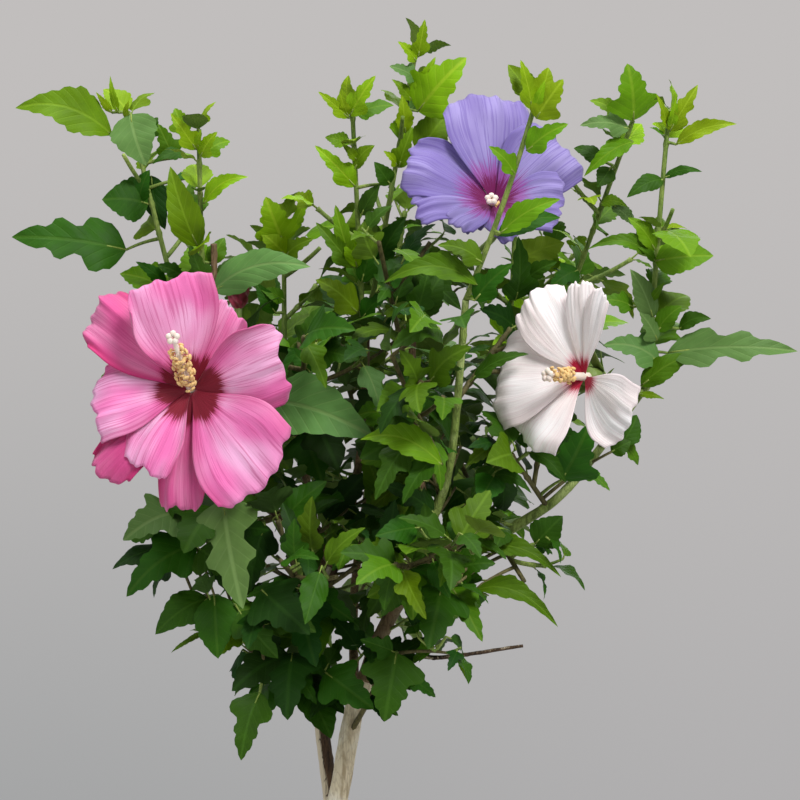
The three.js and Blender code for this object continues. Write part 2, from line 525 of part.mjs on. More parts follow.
function grow(name, shoot, seed) {
  const rand = stream(seed);
  const stem = stemOf[name];
  const twigs = [{ ...stem, foot: 0.12 }];
  const solids = [toSolid(tube(stem.curve, stem.radius, 3, stem.steps))];
  const keep = (leaf) => {
    solids.push(leaf.solid());
    taken.push(leaf.whole);
  };
  const sideRadius = (t) => mix(...TWIG.side, t);

  for (const [at, x, y, z, long, wide] of shoot.shown) {
    const tip = vec([x, y, z]);
    const start = stem.curve.getPoint(at);
    const way = tip.clone().sub(start);
    const spare = way.length() - long;
    way.normalize();
    if (spare > TWIG.shortest) {
      const twig = makeTwig(name, start, way, spare, sideRadius);
      twig.curve.v2.copy(start).addScaledVector(way, spare);
      solids.push(toSolid(tube(twig.curve, twig.radius, 3, 1)));
      taken.push(...twig.pieces);
      start.addScaledVector(way, spare);
    }
    keep(makeLeaf(name, start, tip, wide, 0, LEAF.shownFront));
  }

  for (let i = 0; i < shoot.twigs; i += 1) {
    const at = mix(TWIG.from, TWIG.to, (i + 0.5) / shoot.twigs);
    const root = stem.curve.getPoint(at);
    const tangent = stem.curve.getTangent(at);
    for (let attempt = 0; attempt < TWIG.tries; attempt += 1) {
      const turn = radians(CROWN.golden * (i * 3 + attempt) + 360 * rand());
      const across = vec([Math.cos(turn), Math.sin(turn), 0.25]);
      across.addScaledVector(tangent, -across.dot(tangent)).normalize();
      const way = across.addScaledVector(tangent, TWIG.forward).normalize();
      const twig = makeTwig(name, root, way, shoot.reach * mix(...TWIG.vary, rand()), sideRadius);
      if (inOwnSpace(name, twig.curve.getPoint(1)) && twigFits(name, twig)) {
        twigs.push({ ...twig, foot: 0.4 });
        solids.push(toSolid(tube(twig.curve, twig.radius, 3, twig.steps)));
        taken.push(...twig.pieces);
        break;
      }
    }
  }

  for (const twig of twigs) {
    const count = Math.round((twig.curve.getLength() * (1 - twig.foot)) / shoot.spacing);
    for (let i = 0; i <= count; i += 1) {
      const t = mix(twig.foot, 0.985, i / Math.max(count, 1));
      const root = twig.curve.getPoint(t);
      const tangent = twig.curve.getTangent(t);
      const climb = (root.z - stem.curve.v0.z) / (stem.curve.v2.z - stem.curve.v0.z);
      const height = THREE.MathUtils.clamp(climb, 0, 1);
      for (let attempt = 0; attempt < TWIG.tries; attempt += 1) {
        const turn = radians(CROWN.golden * (i + attempt) + 40 * rand());
        const across = new THREE.Vector3(-tangent.y, tangent.x, 0).normalize();
        across.applyAxisAngle(tangent, turn);
        const lean = i === count ? LEAF.tipLean : mix(...LEAF.lean, rand());
        const way = tangent.clone().addScaledVector(across, lean).add(vec([0, 0, -shoot.hang])).normalize();
        const shorter = attempt > TWIG.tries / 2 ? LEAF.small : 1;
        const long = mix(...shoot.leaf, height) * mix(...LEAF.vary, rand()) * shorter;
        const tip = root.clone().addScaledVector(way, long);
        const wide = long * mix(...LEAF.wide, rand());
        const leaf = makeLeaf(name, root, tip, wide, radians(mix(-LEAF.roll, LEAF.roll, rand())), LEAF.front);
        if (inOwnSpace(name, leaf.heart) && leafFits(leaf)) {
          keep(leaf);
          break;
        }
      }
    }
  }
  return cutByHost(join(solids), shoot.on);
}

Object.entries(SHOOTS).forEach(([name, shoot], i) => {
  const green = name.startsWith('shoot') ? 0x6c9003 : 0x2a5a12;
  place(name, grow(name, shoot, 101 + i * 17), material(green, 0.55));
});

export default shrub;
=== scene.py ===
# A young rose of Sharon, a hardy hibiscus shrub, in a round nursery pot. Two crossed stems carry
# boughs, leafy shoots and three open blooms, one pink, one violet and one white.
import math

import bpy
import numpy as np
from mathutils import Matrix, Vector, noise


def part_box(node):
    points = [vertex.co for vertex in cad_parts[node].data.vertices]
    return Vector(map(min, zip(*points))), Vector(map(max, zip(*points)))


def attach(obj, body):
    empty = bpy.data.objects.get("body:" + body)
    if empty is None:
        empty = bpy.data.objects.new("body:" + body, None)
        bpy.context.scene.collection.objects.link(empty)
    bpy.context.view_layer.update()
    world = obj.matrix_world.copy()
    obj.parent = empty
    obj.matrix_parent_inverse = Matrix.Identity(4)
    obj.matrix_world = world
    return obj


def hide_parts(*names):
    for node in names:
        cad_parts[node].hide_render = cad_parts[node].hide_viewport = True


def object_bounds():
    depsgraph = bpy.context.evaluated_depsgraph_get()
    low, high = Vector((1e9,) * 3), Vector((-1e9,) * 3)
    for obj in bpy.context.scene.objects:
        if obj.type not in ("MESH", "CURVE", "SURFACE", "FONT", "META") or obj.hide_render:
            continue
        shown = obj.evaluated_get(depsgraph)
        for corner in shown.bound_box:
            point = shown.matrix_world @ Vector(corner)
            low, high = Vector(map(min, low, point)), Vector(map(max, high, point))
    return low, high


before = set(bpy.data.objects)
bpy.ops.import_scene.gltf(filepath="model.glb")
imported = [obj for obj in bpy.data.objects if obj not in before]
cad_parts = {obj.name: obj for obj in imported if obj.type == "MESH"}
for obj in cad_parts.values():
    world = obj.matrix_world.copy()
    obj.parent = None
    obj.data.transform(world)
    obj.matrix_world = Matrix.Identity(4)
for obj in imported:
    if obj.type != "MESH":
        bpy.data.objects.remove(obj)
cad_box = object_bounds()

# ---------------------------------------------------------------------------- room and camera
# A pale floor in a plain grey room, lit by soft boxes: a large one from the upper right and front,
# a weaker one from the left, and one from behind that rims the leaves.
CAMERA = {"target": (0.0276, 0.0, 0.429), "distance": 1.6, "rise": 3.0, "frame": 0.368}
LIGHTS = {
    "key": {"at": (0.75, -1.25, 1.75), "size": 0.7, "watts": 32},
    "fill": {"at": (-1.5, -1.1, 0.9), "size": 1.4, "watts": 6},
    "top": {"at": (-0.1, 0.1, 2.0), "size": 0.9, "watts": 17},
    "rear": {"at": (0.5, 1.6, 1.2), "size": 1.0, "watts": 7},
}
FLOOR = {"radius": 1.35, "gap": 0.0003}

camera_data = bpy.data.cameras.new("camera")
camera_data.sensor_width = 36
camera_data.lens = camera_data.sensor_width * CAMERA["distance"] / CAMERA["frame"]
camera = bpy.data.objects.new("camera", camera_data)
bpy.context.scene.collection.objects.link(camera)
rise = math.radians(CAMERA["rise"])
back = Vector((0, -math.cos(rise), math.sin(rise)))
camera.location = Vector(CAMERA["target"]) + back * CAMERA["distance"]
camera.rotation_euler = (-back).to_track_quat("-Z", "Y").to_euler()
bpy.context.scene.camera = camera
bpy.context.scene.view_settings.view_transform = "Standard"

for name, light in LIGHTS.items():
    data = bpy.data.lights.new(name, "AREA")
    data.shape = "DISK"
    data.size = light["size"]
    data.energy = light["watts"]
    lamp = bpy.data.objects.new(name, data)
    lamp.location = light["at"]
    lamp.rotation_euler = (Vector(light["at"]) - Vector(CAMERA["target"])).to_track_quat("Z", "Y").to_euler()
    bpy.context.scene.collection.objects.link(lamp)


def node(tree, kind, inputs=None, **settings):
    """Adds a shader node. An input is a number, a colour, or the socket that feeds it."""
    made = tree.nodes.new(kind)
    for key, value in settings.items():
        setattr(made, key, value)
    for socket, value in (inputs or {}).items():
        if isinstance(value, bpy.types.NodeSocket):
            tree.links.new(value, made.inputs[socket])
        else:
            made.inputs[socket].default_value = value
    return made


def math_node(tree, operation, *values):
    return node(tree, "ShaderNodeMath", dict(enumerate(values)), operation=operation).outputs[0]


def plus(tree, first, second):
    return math_node(tree, "ADD", first, second)


def minus(tree, first, second):
    return math_node(tree, "SUBTRACT", first, second)


def times(tree, first, second):
    return math_node(tree, "MULTIPLY", first, second)


def ramp(tree, value, low, high):
    """0 below low, 1 above high, and smooth between them."""
    inputs = {"Value": value, "From Min": low, "From Max": high}
    return node(tree, "ShaderNodeMapRange", inputs, interpolation_type="SMOOTHSTEP").outputs[0]


def blend(tree, share, first, second):
    inputs = {"Factor": share, 6: first, 7: second}
    return node(tree, "ShaderNodeMix", inputs, data_type="RGBA").outputs[2]


def rgb(red, green, blue):
    """A colour given as it looks on a screen, 0 to 255, in the linear values that shaders use."""
    shares = [value / 255 for value in (red, green, blue)]
    return (*[s / 12.92 if s <= 0.04045 else ((s + 0.055) / 1.055) ** 2.4 for s in shares], 1)


def new_material(name, roughness, **settings):
    """A material with its tree and its Principled shader."""
    material = bpy.data.materials.new(name)
    material.use_nodes = True
    shader = material.node_tree.nodes["Principled BSDF"]
    shader.inputs["Roughness"].default_value = roughness
    for socket, value in settings.items():
        shader.inputs[socket.replace("_", " ")].default_value = value
    return material, material.node_tree, shader


def deselect():
    bpy.ops.object.select_all(action="DESELECT")


def pick(obj):
    """Makes an object the only one selected, and the active one."""
    deselect()
    obj.select_set(True)
    bpy.context.view_layer.objects.active = obj


def add(operator, **settings):
    """Adds one of the basic meshes, with nothing else selected."""
    deselect()
    operator(**settings)
    return bpy.context.object


def paint(tree, shader, color, roughness=None):
    """Feeds a colour to a shader, and a roughness where there is one."""
    tree.links.new(color, shader.inputs["Base Color"])
    if roughness is not None:
        tree.links.new(roughness, shader.inputs["Roughness"])


world = bpy.data.worlds.new("grey room")
bpy.context.scene.world = world
world.use_nodes = True
sky = world.node_tree
way = node(sky, "ShaderNodeSeparateXYZ", {0: node(sky, "ShaderNodeTexCoord").outputs["Generated"]}).outputs
low = blend(sky, ramp(sky, way[0], -0.12, 0.12), rgb(156, 158, 159), rgb(172, 171, 172))
backdrop = blend(sky, ramp(sky, way[2], -0.26, 0.06), low, rgb(193, 190, 189))
shown = node(sky, "ShaderNodeLightPath").outputs["Is Camera Ray"]
sky.links.new(blend(sky, shown, rgb(196, 199, 203), backdrop), sky.nodes["Background"].inputs["Color"])
sky.links.new(plus(sky, times(sky, shown, 0.45), 0.55), sky.nodes["Background"].inputs["Strength"])

floor = add(bpy.ops.mesh.primitive_circle_add, vertices=96, radius=FLOOR["radius"], fill_type="NGON",
            location=(0, 0, -FLOOR["gap"]))
floor.name = "floor"
material, tree, shader = new_material("floor_paint", 0.7)
wash = node(tree, "ShaderNodeTexNoise", {"Scale": 3.0, "Detail": 3.0}).outputs["Fac"]
paint(tree, shader, blend(tree, wash, rgb(190, 189, 187), rgb(198, 197, 195)))
floor.data.materials.append(material)

# ---------------------------------------------------------------------------- pot
# A plain round nursery pot, injection moulded in dark grey polypropylene: a tapering wall with a
# step near the foot, a rolled lip that stiffens the rim, a recessed floor and four drain holes.
POT = {"high": 0.150, "rim": 0.088, "foot": 0.064, "wall": 0.0035, "lip": 0.005, "lip_foot": 0.134,
       "recess": 0.0015, "step": 0.022, "edge": 0.0012, "sides": 128, "drains": 4, "drain_ring": 0.036,
       "drain_wide": 0.009}


def finished(obj, name, material, *nodes, slot=None):
    """Names a finished piece, gives it its material, and says what it rides and stands for."""
    obj.name = name
    obj.data.name = name
    if material:
        obj.data.materials.clear()
        obj.data.materials.append(material)
    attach(obj, "root")
    if nodes:
        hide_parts(*nodes)
    return obj


def settle():
    """Takes the active object's place into its mesh."""
    bpy.ops.object.transform_apply(location=True, rotation=True, scale=True)


def edit_all():
    bpy.ops.object.mode_set(mode="EDIT")
    bpy.ops.mesh.select_all(action="SELECT")


def edit_done():
    """Turns all faces outwards and leaves edit mode."""
    bpy.ops.mesh.select_all(action="SELECT")
    bpy.ops.mesh.normals_make_consistent(inside=False)
    bpy.ops.object.mode_set(mode="OBJECT")


def object_place(tree):
    return node(tree, "ShaderNodeTexCoord").outputs["Object"]


def noise_value(tree, place, scale, detail, roughness=0.5):
    """A noise pattern from 0 to 1."""
    inputs = {"Vector": place, "Scale": scale, "Detail": detail, "Roughness": roughness}
    return node(tree, "ShaderNodeTexNoise", inputs).outputs["Fac"]


def attribute(tree, name, kind="Fac"):
    """What each point of the mesh holds under a name."""
    return node(tree, "ShaderNodeAttribute", attribute_name=name).outputs[kind]


def split(tree, vector):
    return node(tree, "ShaderNodeSeparateXYZ", {0: vector}).outputs


def relief(tree, shader, height, distance, strength):
    """Lets a height stand up from the surface, by so many metres."""
    bump = node(tree, "ShaderNodeBump", {"Height": height, "Distance": distance, "Strength": strength})
    tree.links.new(bump.outputs[0], shader.inputs["Normal"])


def pot_radius(z):
    return POT["foot"] + (POT["rim"] - POT["foot"]) * z / POT["high"]


def make_pot():
    """The pot's profile, from the recess under its floor up the outside and down the inside, is
    drawn out ring by ring from a disc."""
    high, wall, lip, foot = POT["high"], POT["wall"], POT["lip"], POT["lip_foot"]
    step, edge = POT["step"], POT["edge"]
    rim, lip_foot = pot_radius(high), pot_radius(foot)
    profile = [(POT["foot"] - 0.010, POT["recess"]), (POT["foot"] - 0.0085, 0.0), (POT["foot"] - edge, 0.0),
               (pot_radius(edge), edge), (pot_radius(step), step), (pot_radius(step) + 0.0009, step + 0.0009),
               (lip_foot - 0.0002, foot - 0.0006), (lip_foot + lip - edge, foot),
               (lip_foot + lip, foot + edge), (rim + lip - 0.0004, high - edge * 1.6),
               (rim + lip - edge, high - edge * 0.3), (rim + lip - edge * 2.2, high),
               (rim - wall + edge * 1.4, high), (rim - wall, high - edge), (lip_foot - wall, foot),
               (pot_radius(wall) - wall - 0.002, wall)]
    pot = add(bpy.ops.mesh.primitive_circle_add, vertices=POT["sides"], radius=profile[0][0],
              fill_type="NGON", location=(0, 0, profile[0][1]))
    edit_all()
    for (near, low), (far, top) in zip(profile, profile[1:]):
        bpy.ops.mesh.extrude_region_move(TRANSFORM_OT_translate={"value": (0, 0, top - low)})
        bpy.ops.transform.resize(value=(far / near, far / near, 1), center_override=(0, 0, top))
    edit_done()
    settle()
    for i in range(POT["drains"]):
        turn = (i + 0.5) * 2 * math.pi / POT["drains"]
        at = (math.cos(turn) * POT["drain_ring"], math.sin(turn) * POT["drain_ring"], 0)
        drill = add(bpy.ops.mesh.primitive_cylinder_add, vertices=24, radius=POT["drain_wide"] / 2,
                    depth=0.02, location=at)
        hole = pot.modifiers.new("drain", "BOOLEAN")
        hole.object = drill
        bpy.context.view_layer.objects.active = pot
        bpy.ops.object.modifier_apply(modifier=hole.name)
        bpy.data.objects.remove(drill)
    pick(pot)
    bpy.ops.object.shade_smooth_by_angle(angle=math.radians(35))
    return pot


material, tree, shader = new_material("moulded_polypropylene", 0.5)
place = object_place(tree)
worn = ramp(tree, noise_value(tree, place, 26.0, 6.0, 0.7), 0.52, 0.72)
grit = noise_value(tree, place, 900.0, 2.0)
rough = plus(tree, times(tree, worn, 0.2), 0.46)
paint(tree, shader, blend(tree, worn, rgb(78, 77, 74), rgb(98, 96, 91)), rough)
relief(tree, shader, grit, 0.0002, 0.35)
finished(make_pot(), "pot_shell", material, "pot", slot="pot_plastic")

# ---------------------------------------------------------------------------- compost
# Moist peat compost, pressed round the stems and a little sunk at the wall of the pot. Crumbs lie
# on it.
COMPOST = {"top": 0.137, "bottom": 0.0038, "gap": 0.0008, "sides": 96, "rings": 26, "rough": 0.0028,
           "crumbs": 900, "seed": 5}


def make_compost():
    """A tapering plug whose top is inset ring by ring, then roughened and sunk at its rim."""
    bottom, top = COMPOST["bottom"], COMPOST["top"]
    wide = pot_radius(top) - POT["wall"] - COMPOST["gap"]
    narrow = pot_radius(bottom) - POT["wall"] - COMPOST["gap"] - 0.002
    soil = add(bpy.ops.mesh.primitive_circle_add, vertices=COMPOST["sides"], radius=narrow,
               fill_type="NGON", location=(0, 0, bottom))
    edit_all()
    bpy.ops.mesh.extrude_region_move(TRANSFORM_OT_translate={"value": (0, 0, top - bottom)})
    bpy.ops.transform.resize(value=(wide / narrow, wide / narrow, 1), center_override=(0, 0, top))
    for _ in range(COMPOST["rings"]):
        bpy.ops.mesh.inset(thickness=wide / (COMPOST["rings"] + 1))
    edit_done()
    settle()
    for vertex in soil.data.vertices:
        if vertex.co.z > top - 0.001:
            spot = vertex.co * 150
            lumps = noise.noise(spot) + 0.5 * noise.noise(spot * 2.3) + 0.3 * noise.noise(spot * 5)
            rim = max(0.0, math.hypot(vertex.co.x, vertex.co.y) / wide - 0.82) / 0.18
            vertex.co.z += COMPOST["rough"] * (0.45 * lumps - 1.2 * rim * rim - 0.5)
    bpy.ops.object.shade_smooth()
    return soil


def mesh_object(name, vertices, faces):
    """An object from arrays of points, in metres, and of faces with the same number of corners."""
    mesh = bpy.data.meshes.new(name)
    faces = np.asarray(faces, np.int32)
    sides = faces.shape[1]
    mesh.vertices.add(len(vertices))
    mesh.vertices.foreach_set("co", np.asarray(vertices, np.float32).ravel())
    mesh.loops.add(faces.size)
    mesh.loops.foreach_set("vertex_index", faces.ravel())
    mesh.polygons.add(len(faces))
    mesh.polygons.foreach_set("loop_start", np.arange(len(faces), dtype=np.int32) * sides)
    mesh.update(calc_edges=True)
    mesh.shade_smooth()
    made = bpy.data.objects.new(name, mesh)
    bpy.context.scene.collection.objects.link(made)
    return made


def corners_of(obj):
    corners = np.zeros(len(obj.data.vertices) * 3)
    obj.data.vertices.foreach_get("co", corners)
    return corners.reshape(-1, 3)


def take_apart(obj):
    """The points and faces of an object, which is removed."""
    parts = corners_of(obj), np.array([list(p.vertices) for p in obj.data.polygons])
    bpy.data.objects.remove(obj)
    return parts


def gather(parts):
    """One set of points and faces from many."""
    points, faces, count = [], [], 0
    for spots, rows in parts:
        points.append(spots)
        faces.append(np.asarray(rows) + count)
        count += len(spots)
    return np.vstack(points), np.vstack(faces)


def make_crumbs():
    """Crumbs: one small faceted lump, copied with its own turn, size and stretch."""
    rand = np.random.default_rng(COMPOST["seed"])
    corners, faces = take_apart(add(bpy.ops.mesh.primitive_ico_sphere_add, subdivisions=1, radius=1))
    crumbs = []
    wide = pot_radius(COMPOST["top"]) - POT["wall"] - 0.006
    for _ in range(COMPOST["crumbs"]):
        turn, reach = rand.uniform(0, 2 * math.pi), wide * math.sqrt(rand.uniform(0.02, 1))
        size = rand.uniform(0.0005, 0.0017) * np.array([1, rand.uniform(0.5, 1), rand.uniform(0.35, 0.8)])
        spin, _ = np.linalg.qr(rand.normal(size=(3, 3)))
        points = (corners * rand.uniform(0.8, 1.2, corners.shape) * size) @ spin
        z = COMPOST["top"] - COMPOST["rough"] * 0.45
        crumbs.append((points + (math.cos(turn) * reach, math.sin(turn) * reach, z), faces))
    return mesh_object("crumbs", *gather(crumbs))


material, tree, shader = new_material("peat_compost", 0.95, Specular_IOR_Level=0.2)
place = object_place(tree)
grain = noise_value(tree, place, 260.0, 8.0, 0.75)
damp = ramp(tree, noise_value(tree, place, 22.0, 3.0), 0.4, 0.7)
peat = blend(tree, ramp(tree, grain, 0.35, 0.7), rgb(38, 28, 20), rgb(84, 64, 46))
paint(tree, shader, blend(tree, damp, peat, rgb(50, 36, 26)))
relief(tree, shader, grain, 0.0012, 0.8)
finished(make_compost(), "compost_bed", material, "soil", slot="compost")
finished(make_crumbs(), "compost_crumbs", material, slot="compost")

# ---------------------------------------------------------------------------- stems and boughs
# The woody limbs. The light stem has dry tan bark with a knot, the dark stem brown bark, and the
# long right bough and the young ones smooth green bark with fine stripes. One stub was pruned, and
# one twig is dead. Lengths from here on are in millimetres until a mesh is made.
MM = 0.001
STEM_FOOT = 137.3
GOLDEN = 137.5

def woody(bark, thick, points, **more):
    """A limb: its bark, how thick it is at its foot and tip, and the points that it runs through. One
    that springs from another limb says which, and where on it."""
    return {"bark": bark, "thick": thick, "points": points, **more}


LIMBS = {
    "stem_light": woody("light", [9.4, 8.8],
                        [[-21, -8, STEM_FOOT], [-14, -9, 190], [-1, -10, 246], [6, -8, 284], [12, -5, 300]],
                        flare=8, knot=0.82),
    "stem_dark": woody("dark", [8.4, 4.8],
                       [[10, 12, STEM_FOOT], [3, 10, 190], [-5, 8, 247], [-10, 12, 294], [-7, 12, 339],
                        [1, 8, 359]],
                       flare=7),
    "bough_right_low": woody("brown", [7.6, 5.8], [[18, -6, 319], [32, -8, 343], [52, -10, 356]],
                             on="stem_light", at=1),
    "bough_right_arch": woody("green", [5.4, 3.4], [[84, -12, 374], [106, -10, 391], [141, -5, 436]],
                              on="bough_right_low", at=1),
    "bough_left": woody("brown", [4.8, 3.4], [[-18, 0, 370], [-34, -4, 381], [-53, -8, 411], [-68, -8, 452]],
                        on="stem_dark", at=0.92),
    "bough_left_up": woody("brown", [4.2, 3.4], [[-13, 28, 372], [-20, 40, 408], [-27, 44, 436]],
                           on="stem_dark", at=0.81),
    "bough_mid": woody("brown", [4.4, 3.4], [[10, 22, 409], [12, 24, 460]], on="stem_dark", at=1),
    "bough_centre": woody("green", [4.8, 3.2], [[42, -18, 374], [51, -27, 406], [57, -42, 476]],
                          on="bough_right_low", at=0.5),
    "bough_up": woody("brown", [4, 3.2], [[36, 8, 400], [33, 18, 428], [34, 20, 475]], on="bough_centre",
                      at=0.3),
    "bough_back": woody("brown", [4.6, 3.4], [[6, 50, 336], [13, 100, 389]], on="stem_light", at=0.78),
    "bough_back_right": woody("brown", [4.4, 3.4], [[66, 55, 385], [93, 80, 430]], on="bough_right_low",
                              at=0.75),
    "dead_twig": woody("dark", [2.6, 1.4], [[32, -22, 313], [49, -30, 314], [83, -38, 320]],
                       on="bough_right_low", at=0.1),
    "pruned_stub": woody("brown", [3, 2.8], [[-56, -28, 460], [-56, -34, 501]], on="bough_left", at=0.78),
}
LIMB = {"flare_fade": 22, "knot_high": 1.3, "knot_long": 0.03, "stem_steps": 16}

# How each bark stands up: the depth of its ridges, how many run round the limb, how fast they
# change along it, the depth of its fine grain, and how far apart its leaf scars are.
BARK = {
    "light": {"ridge": 0.34, "round": 1.9, "along": 0.05, "fine": 0.10, "scars": 17},
    "dark": {"ridge": 0.30, "round": 1.8, "along": 0.06, "fine": 0.10, "scars": 15},
    "brown": {"ridge": 0.16, "round": 1.7, "along": 0.05, "fine": 0.06, "scars": 14},
    "green": {"ridge": 0.12, "round": 1.9, "along": 0.02, "fine": 0.03, "scars": 21},
}


def mix(a, b, t):
    return a + (b - a) * t


def catmull(points):
    """The smooth curve through the points, as a function of t from 0 to 1."""
    points = np.array(points, float)
    ring = np.vstack([2 * points[0] - points[1], points, 2 * points[-1] - points[-2]])
    spans = len(points) - 1

    def at(t):
        place = t * spans
        i = min(int(place), spans - 1)
        w = place - i
        before, start, end, after = ring[i:i + 4]
        out, into = 0.5 * (end - before), 0.5 * (after - start)
        return start + out * w + (3 * end - 3 * start - 2 * out - into) * w * w \
            + (2 * start - 2 * end + out + into) * w ** 3
    return at


def bezier(start, bend, end):
    return lambda t: (1 - t) ** 2 * start + 2 * (1 - t) * t * bend + t * t * end


def unit(vector):
    return vector / math.sqrt(vector @ vector)


def tangent(curve, t):
    return unit(curve(min(t + 1e-4, 1.0)) - curve(max(t - 1e-4, 0.0)))


def sideways(turn, rise, run, share):
    """A way that points out at a turn round the upright and leans along the way given."""
    return unit(np.array([math.cos(turn), math.sin(turn), rise]) + run * share)


def foothold(curve, t):
    """A point of a curve, and the way the curve runs there."""
    return curve(t), tangent(curve, t)


def curve_length(curve):
    points = np.array([curve(i / 200) for i in range(201)])
    return float(np.linalg.norm(np.diff(points, axis=0), axis=1).sum())


def sweep(curve, start, end, steps):
    """Points along a curve, with two directions across it at each that don't twist."""
    spots = np.array([curve(mix(start, end, i / steps)) for i in range(steps + 1)])
    ways = np.gradient(spots, axis=0)
    ways /= np.linalg.norm(ways, axis=1)[:, None]
    across = np.cross(ways[0], [0.31, 0.95, 0.05])
    sides = []
    for way in ways:
        across = unit(across - way * (across @ way))
        sides.append(across)
    sides = np.array(sides)
    return spots, sides, np.cross(ways, sides)


def ring_faces(rings, sides, first=0):
    """Quads between rings of points."""
    i, j = np.meshgrid(np.arange(rings - 1), np.arange(sides), indexing="ij")
    i, j = i.ravel(), j.ravel()
    k = (j + 1) % sides
    return first + np.stack([i * sides + j, i * sides + k, (i + 1) * sides + k, (i + 1) * sides + j], axis=1)


limbs = {}
taken = {"owner": [], "centre": np.zeros((9000, 3)), "reach": np.zeros(9000), "skin": [], "points": []}


def take(*shapes):
    """Notes convex shapes as room that is used."""
    for shape in shapes:
        i = len(taken["owner"])
        taken["centre"][i] = shape["centre"]
        taken["reach"][i] = shape["reach"]
        for key in ("owner", "skin", "points"):
            taken[key].append(shape[key])


def convex(owner, points, skin):
    """A convex shape: the hull of a few points, with a skin round it."""
    points = np.array(points, float)
    centre = points.mean(axis=0)
    reach = float(np.sqrt(((points - centre) ** 2).sum(axis=1)).max()) + skin
    return {"owner": owner, "points": points, "skin": skin, "centre": centre, "reach": reach}


def along_curve(owner, curve, radius, steps):
    """A row of convex shapes, one for each step of a curve, with its widest radius as their skin."""
    cuts = [(i / steps, (i + 1) / steps) for i in range(steps)]
    return [convex(owner, [curve(a), curve(b)], max(radius(a), radius(b))) for a, b in cuts]


def limb_radius(limb):
    def radius(t):
        flare = limb.get("flare", 0) / 2 * math.exp(-t * LIMB["flare_fade"])
        swell = math.exp(-((t - limb.get("knot", 9)) / LIMB["knot_long"]) ** 2)
        return mix(*limb["thick"], t) / 2 + flare + LIMB["knot_high"] * swell
    return radius


for name, limb in LIMBS.items():
    points = [list(p) for p in limb["points"]]
    if "on" in limb:
        points.insert(0, list(limbs[limb["on"]]["curve"](limb["at"])))
    curve, radius = catmull(points), limb_radius(limb)
    steps = len(points) * 2 - 1 if "on" in limb else LIMB["stem_steps"]
    limbs[name] = {"curve": curve, "radius": radius, "length": curve_length(curve)}
    take(*along_curve(name, curve, radius, steps))


def make_limb(name, limb):
    """A limb with the relief of its bark. A bough's foot widens into a collar on its host."""
    curve, radius, length = (limbs[name][key] for key in ("curve", "radius", "length"))
    bark = BARK[limb["bark"]]
    sides = 30 if name.startswith("stem") else 18
    rings = int(length / (0.9 if name.startswith("stem") else 1.1))
    obj = add(bpy.ops.mesh.primitive_grid_add, x_subdivisions=sides, y_subdivisions=rings, size=1)
    grid = corners_of(obj)
    spots, across, beside = sweep(curve, 0, 1, rings)
    points = np.zeros((len(grid), 3))
    seed = sum(map(ord, name)) % 97
    for i, (u, v, _) in enumerate(grid):
        ring = int(round((v + 0.5) * rings))
        turn = 2 * math.pi * (u + 0.5)
        t, run = ring / rings, length * ring / rings
        r = radius(t)
        if "on" in limb:
            r *= 1 + 0.35 * math.exp(-run / 4.0)
        c, s = math.cos(turn), math.sin(turn)
        around = Vector((c * bark["round"], s * bark["round"], run * bark["along"] + seed))
        ridge = 1 - 2 * abs(noise.noise(around * 1.3))
        fine = noise.noise(Vector((c * r, s * r, run + seed)) * 0.9)
        scar = math.exp(-(((run + seed) % bark["scars"] - 4) / 1.3) ** 2)
        scar *= max(0.0, math.cos(turn - run * 2.4 // 7))
        r += bark["ridge"] * (ridge - 0.5) + bark["fine"] * fine + 0.35 * scar * (r < 4.5)
        points[i] = spots[ring] + (across[ring] * c + beside[ring] * s) * r
    obj.data.vertices.foreach_set("co", (points * MM).ravel())
    edit_all()
    bpy.ops.mesh.remove_doubles(threshold=0.00001)
    bpy.ops.mesh.select_all(action="DESELECT")
    bpy.ops.mesh.select_non_manifold()
    bpy.ops.mesh.edge_face_add()
    bpy.ops.mesh.select_all(action="SELECT")
    bpy.ops.mesh.fill_holes(sides=0)
    edit_done()
    bpy.ops.object.shade_smooth()
    return obj


def new_group(name, colours, numbers, results):
    """A shader node group that is given colours and numbers, and puts out Color and other results."""
    group = bpy.data.node_groups.new(name, "ShaderNodeTree")
    for label in colours + numbers:
        kind = "NodeSocketColor" if label in colours else "NodeSocketFloat"
        group.interface.new_socket(label, in_out="INPUT", socket_type=kind)
    for label in ["Color"] + results:
        kind = "NodeSocketColor" if label == "Color" else "NodeSocketFloat"
        group.interface.new_socket(label, in_out="OUTPUT", socket_type=kind)
    return group, node(group, "NodeGroupInput").outputs


def bark_group():
    """Bark that runs along the limb: colour in long streaks, with fine cracks that stand up."""
    group, given = new_group("bark grain", ["Low", "Middle", "High"], ["Fineness"], ["Height", "Roughness"])
    place = object_place(group)
    long = node(group, "ShaderNodeMapping", {"Vector": place, "Scale": (1, 1, 0.16)}).outputs[0]
    streak = noise_value(group, long, given["Fineness"], 6.0, 0.65)
    blotch = noise_value(group, place, 75.0, 3.0)
    cracks = node(group, "ShaderNodeTexVoronoi", {"Vector": long, "Scale": 900.0}, feature="DISTANCE_TO_EDGE")
    low = blend(group, ramp(group, streak, 0.36, 0.54), given["Low"], given["Middle"])
    color = blend(group, ramp(group, blotch, 0.48, 0.7), low, given["High"])
    crack = ramp(group, cracks.outputs["Distance"], 0.0, 0.12)
    color = blend(group, times(group, minus(group, 1.0, crack), 0.5), color, given["Low"])
    height = plus(group, streak, times(group, crack, 0.4))
    rough = plus(group, times(group, streak, 0.3), 0.55)
    node(group, "NodeGroupOutput", {"Color": color, "Height": height, "Roughness": rough})
    return group


def group_node(tree, group, inputs):
    return node(tree, "ShaderNodeGroup", inputs, node_tree=group).outputs


